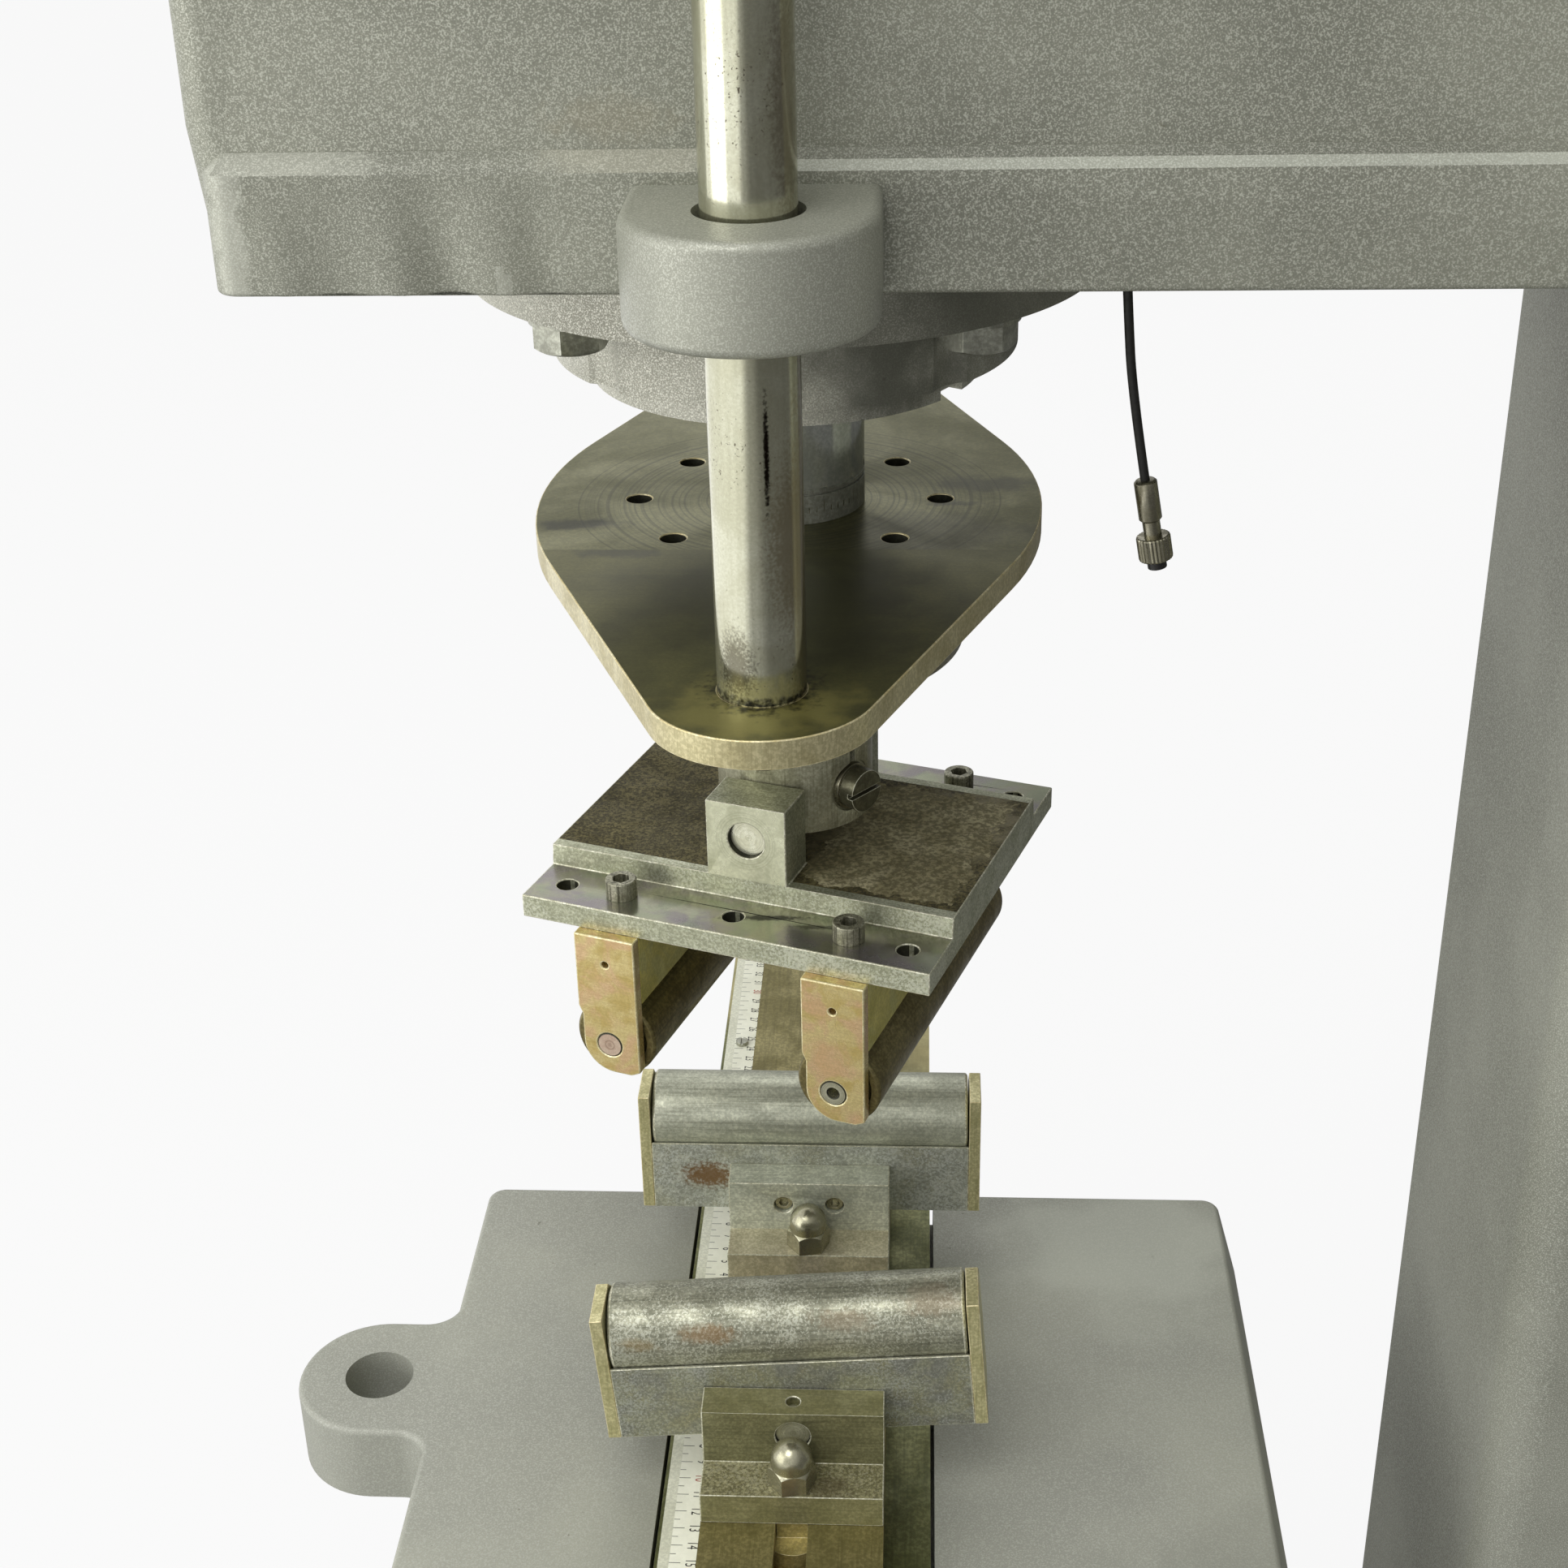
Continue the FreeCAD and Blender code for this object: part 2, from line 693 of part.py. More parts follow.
def ruler_screws():
    top = table_top + ruler_thickness
    screws = []
    for x, y in ruler_screw_places():
        screw = rod(ruler_screw_radius, top - ruler_screw_length, top, x, y)
        head = rod(ruler_screw_head_radius, top, top + ruler_screw_head_height, x, y)
        slot = box(x - 0.5, x + 0.5, y - 5, y + 5, top + ruler_screw_head_height / 2, top + 5)
        screws.append(fuse([screw, head]).cut(slot))
    return screws


def rail_screws():
    screws = []
    for x, y in rail_screw_places():
        screw = socket_screw(rail_screw_radius, rail_screw_length, rail_screw_head_radius,
                             rail_screw_head_height, x, -y, table_bottom)
        screws.append(turned(screw, 180, V(1, 0, 0), V(x, 0, table_bottom)))
    return screws


# Hydraulic cylinder
bush_radius = piston_radius + bush_wall
wiper_radius = piston_radius + wiper_wall
barrel_top = arm_top - barrel_recess
rod_bore = piston_radius + running_gap


def cylinder_flange():
    parts = [
        rod(gland_radius, gland_bottom, arm_bottom),
        rod(gland_hub_radius, hub_face, gland_bottom + 1),
        rod(gland_nose_radius, nose_face, hub_face + 1),
        rod(barrel_bore_radius - running_gap, arm_bottom - 1, arm_bottom + gland_spigot_height),
    ]
    shape = fuse(parts)
    shape = shape.cut(rod(piston_radius + 1.0, nose_face - 1, arm_bottom + 60))
    shape = shape.cut(rod(bush_radius, arm_bottom + gland_spigot_height - bush_height, arm_bottom + 60))
    shape = shape.cut(rod(wiper_radius, nose_face - 1, nose_face + wiper_height))
    notch = box(gland_nose_radius - pry_notch_depth, gland_nose_radius + 5, -pry_notch_width / 2,
                pry_notch_width / 2, nose_face - 1, nose_face + pry_notch_height)
    shape = shape.cut(turned(notch, pry_notch_turn))
    for x, y in circle_places(flange_bolt_circle, 4, 45):
        shape = shape.cut(rod(flange_bolt_radius, gland_bottom - 1, arm_bottom + 1, x, y))
        relief = rod(flange_washer_radius + 1, hub_face - 1, gland_bottom, x, y)
        shape = shape.cut(relief)
    mouth = V(gland_flat, 0, lower_port_level)
    port = bar_along(union_thread_radius, mouth, V(-1, 0, 0), union_engagement)
    way = bar_along(union_bore_radius, mouth, V(-1, 0, 0), gland_radius - bush_radius - 10)
    rise = rod(union_bore_radius, lower_port_level, arm_bottom + gland_spigot_height + 1, bush_radius + 14, 0)
    spot = bar_along(union_flats / 1.7, V(gland_flat, 0, lower_port_level), V(1, 0, 0), 20)
    for cutter in (port, way, rise, spot):
        shape = shape.cut(turned(cutter, lower_union_turn))
    return shape


lower_port_level = gland_bottom + gland_height / 2
gland_flat = math.sqrt(gland_radius ** 2 - (union_flats / 1.7) ** 2)   # load axis to the union's spot face
upper_port_place = cap_radius * 0.35


def flange_bolts():
    solids = []
    turns = (26.0, 10.0, 22.0, 6.0)
    for (x, y), turn in zip(circle_places(flange_bolt_circle, 4, 45), turns):
        seat = gland_bottom - flange_washer_thickness
        length = flange_washer_thickness + gland_height + flange_bolt_engagement
        solids.append(hex_bolt(flange_bolt_radius, length, flange_bolt_flats, flange_bolt_head, x, y, seat, turn))
        solids.append(ring(flange_washer_radius, flange_bolt_radius, seat, gland_bottom, x, y))
    return solids


def cylinder_barrel():
    outer = barrel_bore_radius + barrel_wall
    return ring(outer, barrel_bore_radius, arm_bottom, barrel_top)


def cylinder_cap():
    top = rod(cap_radius, arm_top, arm_top + cap_thickness)
    top = top.makeChamfer(2, [edge for edge in top.Edges if edge.BoundBox.ZMin > arm_top + 5])
    shoulder = rod(barrel_bore_radius + barrel_wall, barrel_top, arm_top + 1)
    spigot = rod(barrel_bore_radius - running_gap, barrel_top - gland_spigot_height, barrel_top + 1)
    shape = fuse([top, shoulder, spigot])
    for x, y in circle_places(cap_bolt_circle, cap_bolt_count):
        shape = shape.cut(rod(cap_bolt_radius, arm_top - 1, arm_top + cap_thickness + 1, x, y))
    top_face = arm_top + cap_thickness
    shape = shape.cut(rod(union_thread_radius, top_face - union_engagement, top_face + 1, 0, upper_port_place))
    return shape.cut(rod(union_bore_radius, barrel_top - 60, top_face, 0, upper_port_place))


def cap_bolts():
    seat = arm_top + cap_thickness
    return [socket_screw(cap_bolt_radius, cap_thickness + cap_bolt_engagement, cap_bolt_head_radius,
                         cap_bolt_head_height, x, y, seat) for x, y in circle_places(cap_bolt_circle, cap_bolt_count)]


def rod_bush():
    top = arm_bottom + gland_spigot_height
    return ring(bush_radius, rod_bore, top - bush_height, top)


def rod_wiper():
    return ring(wiper_radius, piston_radius + running_gap, nose_face, nose_face + wiper_height)


def oil_union():
    """A union that stands on the face at zero level and points up."""
    body = hexagon(union_flats, 0, union_body_height)
    stub = rod(union_thread_radius, -union_engagement, 0)
    nose = rod(union_thread_radius + 1, union_body_height - 1, union_body_height + union_stub_height)
    return fuse([body, stub, nose]).cut(rod(union_bore_radius, -union_engagement - 1,
                                            union_body_height + union_stub_height + 1))


def oil_unions():
    upper = oil_union()
    upper.translate(V(0, upper_port_place, arm_top + cap_thickness))
    lower = turned(oil_union(), 90, V(0, 1, 0))
    lower.translate(V(gland_flat, 0, lower_port_level))
    return [upper, turned(lower, lower_union_turn)]


# Ram
piston_head_bottom = arm_bottom + piston_head_lift
mark_ring_top = guide_top + mark_ring_height


def piston():
    head_radius = barrel_bore_radius - piston_head_gap
    shape = fuse([rod(piston_radius, mark_ring_top, piston_head_bottom + 1),
                  rod(spigot_radius, guide_bottom, mark_ring_top + 1),
                  rod(head_radius, piston_head_bottom, piston_head_bottom + piston_head_height)])
    for level in piston_seal_levels():
        groove = ring(head_radius + 1, head_radius - piston_seal_depth, level, level + piston_seal_height)
        shape = shape.cut(groove)
    return shape


def piston_seal_levels():
    share = (piston_head_height - 2 * piston_seal_height) / 3
    first = piston_head_bottom + share
    return (first, first + piston_seal_height + share)


def piston_seals():
    head_radius = barrel_bore_radius - piston_head_gap
    return [ring(head_radius + piston_head_gap / 2, head_radius - piston_seal_depth, level,
                 level + piston_seal_height) for level in piston_seal_levels()]


def mark_ring():
    shape = ring(piston_radius, spigot_radius, guide_top, mark_ring_top)
    groove = ring(piston_radius + 1, piston_radius - mark_ring_groove, mark_ring_top - 2.5, mark_ring_top - 1.5)
    return shape.cut(groove)


def guide_plate_outline(z):
    """Two round tips joined over flat-arched sides by four straight edges."""
    lean = math.radians(guide_edge_turn)
    normal_x = math.cos(lean)
    normal_y = math.sin(lean)
    distance = guide_tip_radius + normal_y * guide_spacing
    side_radius = (guide_side_reach - distance / normal_x) / (1 - 1 / normal_x)
    side_centre = guide_side_reach - side_radius
    tip_x = guide_tip_radius * normal_x
    tip_y = guide_spacing + guide_tip_radius * normal_y
    side_x = side_centre + side_radius * normal_x
    side_y = side_radius * normal_y
    far = guide_spacing + guide_tip_radius
    sides = [
        Part.Arc(V(tip_x, tip_y, z), V(0, far, z), V(-tip_x, tip_y, z)),
        Part.LineSegment(V(-tip_x, tip_y, z), V(-side_x, side_y, z)),
        Part.Arc(V(-side_x, side_y, z), V(-guide_side_reach, 0, z), V(-side_x, -side_y, z)),
        Part.LineSegment(V(-side_x, -side_y, z), V(-tip_x, -tip_y, z)),
        Part.Arc(V(-tip_x, -tip_y, z), V(0, -far, z), V(tip_x, -tip_y, z)),
        Part.LineSegment(V(tip_x, -tip_y, z), V(side_x, -side_y, z)),
        Part.Arc(V(side_x, -side_y, z), V(guide_side_reach, 0, z), V(side_x, side_y, z)),
        Part.LineSegment(V(side_x, side_y, z), V(tip_x, tip_y, z)),
    ]
    return Part.Wire([side.toShape() for side in sides])


def guide_plate():
    plate = Part.Face(guide_plate_outline(guide_bottom)).extrude(V(0, 0, guide_plate_thickness))
    plate = plate.cut(rod(spigot_radius, guide_bottom - 1, guide_top + 1))
    for side in (-1, 1):
        plate = plate.cut(rod(guide_rod_radius, guide_bottom - 1, guide_top + 1, 0, side * guide_spacing))
    for x, y in circle_places(tool_hole_circle, tool_hole_count):
        plate = plate.cut(rod(tool_hole_radius, guide_bottom - 1, guide_top + 1, x, y))
    for x, y in circle_places(hub_screw_circle, 4, hub_screw_turn):
        plate = plate.cut(rod(hub_screw_radius, guide_bottom - 1, guide_bottom + hub_screw_engagement, x, y))
    return plate


def guide_rod(side):
    shape = rod(guide_rod_radius, guide_bottom, guide_bottom + guide_rod_length, 0, side * guide_spacing)
    top = [edge for edge in shape.Edges if edge.BoundBox.ZMin > guide_top]
    shape = shape.makeChamfer(guide_rod_chamfer, top)
    hole = rod(guide_screw_radius, guide_bottom - 1, guide_bottom + guide_screw_depth, 0, side * guide_spacing)
    return shape.cut(hole)


def guide_rod_screws():
    solids = []
    for side in (-1, 1):
        y = side * guide_spacing
        seat = guide_bottom - guide_washer_thickness
        screw = socket_screw(guide_screw_radius, guide_washer_thickness + guide_screw_depth,
                             guide_screw_head_radius, guide_screw_head_height, 0, -y, seat)
        solids.append(turned(screw, 180, V(1, 0, 0), V(0, 0, seat)))
        solids.append(ring(guide_washer_radius, guide_screw_radius, seat, guide_bottom, 0, y))
    return solids


def spindle_hub():
    hub = rod(hub_radius, hub_bottom, guide_bottom)
    hub = hub.makeFillet(3.0, [edge for edge in hub.Edges if edge.BoundBox.ZMax < hub_bottom + 1])
    shape = fuse([hub, rod(spindle_radius, hub_bottom - spindle_length, hub_bottom + 5)])
    for x, y in circle_places(hub_screw_circle, 4, hub_screw_turn):
        shape = shape.cut(rod(hub_screw_radius, hub_bottom - 1, guide_bottom + 1, x, y))
        shape = shape.cut(rod(hub_screw_head_radius, hub_bottom - 1, hub_bottom + hub_screw_head_height, x, y))
    return shape


def hub_screws():
    seat = hub_bottom + hub_screw_head_height
    screws = []
    for x, y in circle_places(hub_screw_circle, 4, hub_screw_turn):
        length = hub_height - hub_screw_head_height + hub_screw_engagement
        screw = socket_screw(hub_screw_radius, length, hub_screw_head_radius, hub_screw_head_height, x, -y, seat)
        screws.append(turned(screw, 180, V(1, 0, 0), V(x, 0, seat)))
    return screws


# Swivelling head, drawn square to the frame and then turned
sleeve_top = hub_bottom - face_gap
sleeve_bottom = hub_bottom - sleeve_length
clamp_level = hub_bottom - clamp_drop
clamp_direction = V(math.cos(math.radians(sleeve_slit_turn)), math.sin(math.radians(sleeve_slit_turn)), 0)


def on_head(shape):
    return turned(shape, head_turn)


def head_sleeve():
    shape = rod(sleeve_radius, sleeve_bottom, sleeve_top)
    eye = bar_along(eye_radius, V(0, -sleeve_flat, pin_level), V(0, 1, 0), 2 * sleeve_flat)
    tongue = box(-eye_half_width, eye_half_width, -sleeve_flat, sleeve_flat, pin_level, pin_level + eye_radius)
    around = rod(sleeve_radius, pin_level - eye_radius - 1, sleeve_top)
    shape = fuse([shape, eye.common(around), tongue.common(around)])
    flat_top = deck_top + lug_rise + 4
    for side in (-1, 1):
        near = side * sleeve_flat
        far = side * (sleeve_flat + 10)
        shape = shape.cut(box(-50, 50, min(near, far), max(near, far), pin_level - 50, flat_top))
    shape = shape.cut(rod(spindle_radius + running_gap, hub_bottom - spindle_length - 2, sleeve_top + 1))
    pin_way = bar_along(pin_radius + running_gap, V(0, -2 * sleeve_radius, pin_level), V(0, 1, 0), 4 * sleeve_radius)
    shape = shape.cut(pin_way)
    shape = on_head(shape)
    slit = box(spindle_radius - 5, sleeve_radius + 5, -sleeve_slit_width / 2, sleeve_slit_width / 2,
               clamp_level - 2, sleeve_top + 1)
    shape = shape.cut(turned(slit, sleeve_slit_turn))
    tapped = bar_along(clamp_radius + running_gap, clamp_start(), clamp_direction, 60)
    spot = bar_along(clamp_washer_radius + 1, clamp_seat(), clamp_direction, 30)
    return shape.cut(tapped).cut(spot)


def clamp_seat():
    seat = clamp_direction * (sleeve_radius - 2.0)
    return V(seat.x, seat.y, clamp_level)


def clamp_start():
    start = clamp_direction * (sleeve_radius - clamp_reach)
    return V(start.x, start.y, clamp_level)


def clamp_washer():
    washer = bar_along(clamp_washer_radius, clamp_seat(), clamp_direction, clamp_washer_thickness)
    return washer.cut(bar_along(clamp_radius + running_gap, clamp_start(), clamp_direction, 60))


def clamp_screw():
    face = clamp_seat() + clamp_direction * (clamp_washer_thickness + slide_gap)
    head = bar_along(clamp_head_radius, face, clamp_direction, clamp_head_length)
    shank_start = clamp_start() + clamp_direction * slide_gap
    shank = bar_along(clamp_radius, shank_start, clamp_direction, (face - shank_start).Length + 1)
    outer = face + clamp_direction * clamp_head_length
    across = clamp_direction.cross(UP)
    slot = box(-1.0, 1.0, -20, 20, -2.5, 2.5)
    slot = slot.copy()
    slot.rotate(V(0, 0, 0), V(0, 1, 0), 90)
    slot.rotate(V(0, 0, 0), UP, math.degrees(math.atan2(across.y, across.x)) - 90)
    slot.translate(outer)
    return fuse([head, shank]).cut(slot)


def loading_plate():
    half_u = plate_width / 2
    half_v = plate_depth / 2
    half_deck = deck_depth / 2
    parts = [
        box(-half_u, half_u, -half_v, half_v, plate_bottom, plate_top),
        prism([V(-half_u, -half_deck - 1.2, plate_top - 1), V(-half_u, half_deck + 1.2, plate_top - 1),
               V(-half_u, half_deck, deck_top), V(-half_u, -half_deck, deck_top)], V(plate_width, 0, 0)),
    ]
    for side in (-1, 1):
        near = side * (half_deck - lug_thickness)
        far = side * half_deck
        parts.append(box(-lug_width / 2, lug_width / 2, min(near, far), max(near, far),
                         deck_top - 1, deck_top + lug_rise))
    shape = fuse(parts)
    shape = shape.cut(bar_along(pin_radius, V(0, -half_deck - 1, pin_level), V(0, 1, 0), deck_depth + 2))
    for v in (-plate_hole_row, plate_hole_row):
        for u in (-plate_hole_column, 0.0, plate_hole_column):
            shape = shape.cut(rod(plate_hole_radius, plate_bottom - 1, plate_top + 1, u, v))
        for u in (-plate_screw_column, plate_screw_column):
            shape = shape.cut(rod(plate_screw_radius, plate_bottom - 1, plate_top + 1, u, v))
    return on_head(shape)


def tilt_pin():
    half = deck_depth / 2 - pin_recess
    return on_head(bar_along(pin_radius, V(0, -half, pin_level), V(0, 1, 0), 2 * half))


def plate_screws():
    screws = []
    for u in (-plate_screw_column, plate_screw_column):
        for v in (-plate_hole_row, plate_hole_row):
            screws.append(on_head(socket_screw(plate_screw_radius, plate_thickness + plate_screw_engagement,
                                               plate_screw_head_radius, plate_screw_head_height, u, v, plate_top)))
    return screws


# Upper rollers
def holder_bar(side):
    u = side * plate_screw_column
    bar = box(u - holder_width / 2, u + holder_width / 2, -holder_half_length, holder_half_length,
              plate_bottom - holder_bar_height, plate_bottom)
    for v in (-plate_hole_row, plate_hole_row):
        bar = bar.cut(rod(plate_screw_radius, plate_bottom - plate_screw_engagement, plate_bottom + 1, u, v))
    return on_head(bar)


def holder_end(u, front):
    """An end plate with a waisted, round-cornered lower lobe."""
    left = u - holder_width / 2
    right = u + holder_width / 2
    lobe = left + holder_waist
    low = plate_bottom - holder_end_height
    waist = plate_bottom - holder_waist_height
    curve = holder_width / 2
    near = curve * (1 - math.sqrt(0.5))
    y = -holder_half_length - holder_end_thickness if front else holder_half_length
    sides = [
        Part.LineSegment(V(left, y, plate_bottom), V(right, y, plate_bottom)),
        Part.LineSegment(V(right, y, plate_bottom), V(right, y, low + 2)),
        Part.LineSegment(V(right, y, low + 2), V(right - 4, y, low)),
        Part.LineSegment(V(right - 4, y, low), V(lobe + curve, y, low)),
        Part.Arc(V(lobe + curve, y, low), V(lobe + near, y, low + near), V(lobe, y, low + curve)),
        Part.LineSegment(V(lobe, y, low + curve), V(lobe, y, waist - 4)),
        Part.LineSegment(V(lobe, y, waist - 4), V(left, y, waist)),
        Part.LineSegment(V(left, y, waist), V(left, y, plate_bottom)),
    ]
    plate = Part.Face(Part.Wire([side.toShape() for side in sides])).extrude(V(0, holder_end_thickness, 0))
    plate = plate.cut(bar_along(axle_radius, V(u, y - 1, upper_axis), V(0, 1, 0), holder_end_thickness + 2))
    plate = plate.cut(bar_along(end_pin_radius, V(u, y - 1, upper_axis + end_pin_rise), V(0, 1, 0),
                                holder_end_thickness + 2))
    return on_head(plate)


def holder_ends():
    return [holder_end(side * plate_screw_column, front) for side in (-1, 1) for front in (True, False)]


def upper_axles():
    half = holder_half_length + holder_end_thickness
    solids = []
    for side in (-1, 1):
        axle = bar_along(axle_radius, V(side * plate_screw_column, -half, upper_axis), V(0, 1, 0), 2 * half)
        if side > 0:
            axle = axle.cut(bar_along(axle_centre_radius, V(side * plate_screw_column, -half - 1, upper_axis),
                                      V(0, 1, 0), axle_centre_depth + 1))
        solids.append(on_head(axle))
    return solids


def upper_roller(side):
    half = holder_half_length - roller_end_gap
    u = side * plate_screw_column
    roller = bar_along(upper_roller_radius, V(u, -half, upper_axis), V(0, 1, 0), 2 * half)
    roller = roller.makeChamfer(1.0, [edge for edge in roller.Edges if edge.BoundBox.YLength < 0.01])
    for end in (-half - 1, half - upper_roller_recess_depth):
        roller = roller.cut(bar_along(upper_roller_recess, V(u, end, upper_axis), V(0, 1, 0),
                                      upper_roller_recess_depth + 1))
    bore = bar_along(axle_radius + running_gap, V(u, -half - 1, upper_axis), V(0, 1, 0), 2 * half + 2)
    return on_head(roller.cut(bore))


# Lower supports
foot_bottom = slot_bar_top + slide_gap
foot_top = slot_bar_top + block_foot_height
block_top = slot_bar_top + block_height
pivot_level = slot_bar_top + pivot_rise
block_screw_level = slot_bar_top + block_screw_rise


def stud_place(place):
    return place - block_upright - stud_offset


def clamp_block(place, pivoted):
    """An L-shaped block: an upright with a foot towards the operator."""
    half = block_width / 2
    front = place - block_upright
    shape = fuse([box(-half, half, front, place, foot_bottom, block_top),
                  box(-half, half, front - block_foot, front + 1, foot_bottom, foot_top)])
    shape = shape.cut(rod(stud_radius + stud_play, foot_bottom - 1, foot_top + 1, 0, stud_place(place)))
    if pivoted:
        shape = shape.cut(bar_along(pivot_radius, V(0, front - 1, pivot_level), V(0, 1, 0), block_upright + 2))
        return shape.cut(rod(grub_hole_radius, pivot_level, block_top + 1, 0, place - block_upright / 2))
    for side in (-1, 1):
        x = side * block_screw_offset
        sink = bar_along(block_screw_head_radius + block_screw_play, V(x, front - 1, block_screw_level),
                         V(0, 1, 0), block_screw_sink + 1)
        way = bar_along(block_screw_radius, V(x, front, block_screw_level), V(0, 1, 0), block_upright + 1)
        shape = shape.cut(sink).cut(way)
    return shape


def block_screws(place):
    seat = place - block_upright + block_screw_sink
    solids = []
    for side in (-1, 1):
        screw = socket_screw(block_screw_radius, place - seat + block_screw_depth, block_screw_head_radius,
                             block_screw_head_height, 0, 0, 0)
        screw = turned(screw, 90, V(1, 0, 0))
        screw.translate(V(side * block_screw_offset, seat, block_screw_level))
        solids.append(screw)
    return solids


def t_bolt(place):
    y = stud_place(place)
    width = slot_channel_width - 2 * t_head_play
    head_top = lip_bottom - slide_gap
    round_end = width / 2
    head = rounded_box(-round_end, round_end, y - t_head_length / 2, y + t_head_length / 2,
                       head_top - t_head_height, head_top, round_end - 0.5)
    neck_half = slot_width / 2 - t_head_play / 2
    neck = box(-neck_half, neck_half, y - neck_half, y + neck_half, head_top - 1, slot_bar_top - slide_gap)
    stud_top = foot_top + stud_nut_hex + 3
    return fuse([head, neck, rod(stud_radius, head_top - 1, stud_top, 0, y)])


def dome_nut(place):
    y = stud_place(place)
    low = foot_top + slide_gap
    hexes = hexagon(stud_nut_flats, low, low + stud_nut_hex, 0, y, 8.0)
    cone = Part.makeCone(stud_nut_flats, stud_nut_flats / 2, stud_nut_hex, V(0, y, low))
    centre = V(0, y, low + stud_nut_height - stud_nut_dome)
    neck = rod(stud_nut_dome, low + stud_nut_hex - 1, centre.z, 0, y)
    dome = Part.makeSphere(stud_nut_dome, centre)
    shape = fuse([hexes.common(cone), neck, dome])
    return shape.cut(rod(stud_radius + running_gap, low - 1, foot_top + stud_nut_hex + 3 + face_gap, 0, y))


def pivot_pin(place):
    start = place - block_upright + pivot_recess
    return bar_along(pivot_radius, V(0, start, pivot_level), V(0, 1, 0),
                     block_upright - pivot_recess + face_gap + pivot_depth)


def cradle_levels(lift):
    low = slot_bar_top + lift
    top = low + cradle_height
    return low, top, top + lower_roller_rise


def cradle_bar(face, lift, pivoted):
    low, top, axis = cradle_levels(lift)
    half = cradle_length / 2
    bar = box(-half, half, face, face + cradle_depth, low, top)
    middle = face + cradle_depth / 2
    groove = bar_along(lower_roller_radius + roller_seat_gap, V(-half - 1, middle, axis), V(1, 0, 0),
                       cradle_length + 2)
    bar = bar.cut(groove)
    if pivoted:
        return bar.cut(bar_along(pivot_radius + running_gap, V(0, face - 1, pivot_level), V(0, 1, 0),
                                 pivot_depth + 2))
    for side in (-1, 1):
        bar = bar.cut(bar_along(block_screw_radius, V(side * block_screw_offset, face - 1, block_screw_level),
                                V(0, 1, 0), block_screw_depth + 1))
    return bar


def cradle_ends(face, lift):
    low, top, axis = cradle_levels(lift)
    high = axis + lower_roller_radius
    back = face + cradle_depth
    solids = []
    for side in (-1, 1):
        x = side * cradle_length / 2
        if side < 0:
            x -= cradle_end_thickness
        points = [V(x, face, low), V(x, face, high), V(x, back - cradle_end_chamfer, high),
                  V(x, back, high - cradle_end_chamfer), V(x, back, low)]
        solids.append(prism(points, V(cradle_end_thickness, 0, 0)))
    return solids


def lower_roller(face, lift):
    axis = cradle_levels(lift)[2]
    half = cradle_length / 2 - roller_end_gap
    roller = bar_along(lower_roller_radius, V(-half, face + cradle_depth / 2, axis), V(1, 0, 0), 2 * half)
    return roller.makeChamfer(1.0, [edge for edge in roller.Edges if edge.BoundBox.XLength < 0.01])


def rocked(shape):
    return turned(shape, cradle_rock, V(0, 1, 0), V(0, 0, pivot_level))


# Signal cable: straight runs joined by arcs, then its connector
cable_exit = V(cable_x, cable_y, arm_bottom - gland_nut_height)
cable_points = [
    cable_exit,
    cable_exit + V(2.0, 0, -26.0),
    cable_exit + V(4.6, 0.6, -53.0),
    cable_exit + V(10.9, 0.6, -87.5),
]


def cable():
    pieces = []
    start = cable_points[0]
    for index in range(1, len(cable_points) - 1):
        before, corner, after = cable_points[index - 1:index + 2]
        run_in = corner - before
        run_out = after - corner
        turn = run_in.getAngle(run_out)
        reach = 0.45 * min(run_in.Length, run_out.Length)
        radius = reach / math.tan(turn / 2)
        print("cable arc radius", round(radius, 1))
        entry = corner - run_in.normalize() * reach
        leave = corner + run_out.normalize() * reach
        inward = (run_out - run_in).normalize()
        middle = corner + inward * (radius / math.cos(turn / 2) - radius)
        pieces.append(Part.LineSegment(start, entry).toShape())
        pieces.append(Part.Arc(entry, middle, leave).toShape())
        start = leave
    pieces.append(Part.LineSegment(start, cable_points[-1]).toShape())
    path = Part.Wire(pieces)
    first = (cable_points[1] - cable_points[0]).normalize()
    section = Part.Wire(Part.makeCircle(cable_radius, cable_points[0], first))
    tube = path.makePipeShell([section], True, True)
    print("cable length", round(path.Length, 1), "volume share",
          round(tube.Volume / (path.Length * math.pi * cable_radius ** 2), 4))
    return tube


def cable_gland():
    nut = hexagon(gland_nut_flats, arm_bottom - gland_nut_height, arm_bottom, cable_x, cable_y, 15.0)
    sleeve = rod(cable_radius + 0.5, arm_bottom - 1, arm_bottom + arm_floor * 0.8, cable_x, cable_y)
    return fuse([nut, sleeve])


def connector_parts():
    start = cable_points[-1]
    along = (cable_points[-1] - cable_points[-2]).normalize()
    body = bar_along(connector_body_radius, start, along, connector_body_length)
    body = body.makeChamfer(0.8, [edge for edge in body.Edges if edge.Length > 10 and edge.Closed])
    neck_start = start + along * connector_body_length
    neck = bar_along(connector_neck_radius, neck_start - along, along,
                     connector_neck_length + connector_ring_length + 1)
    body = fuse([body, neck])
    ring_start = neck_start + along * connector_neck_length
    collar = bar_along(connector_ring_radius, ring_start, along, connector_ring_length)
    collar = collar.makeChamfer(0.7, [edge for edge in collar.Edges if edge.Length > 10 and edge.Closed])
    collar = collar.cut(bar_along(connector_neck_radius, ring_start - along, along, connector_ring_length + 2))
    tip = bar_along(connector_tip_radius, ring_start + along * connector_ring_length, along,
                    connector_tip_length)
    return body, collar, tip


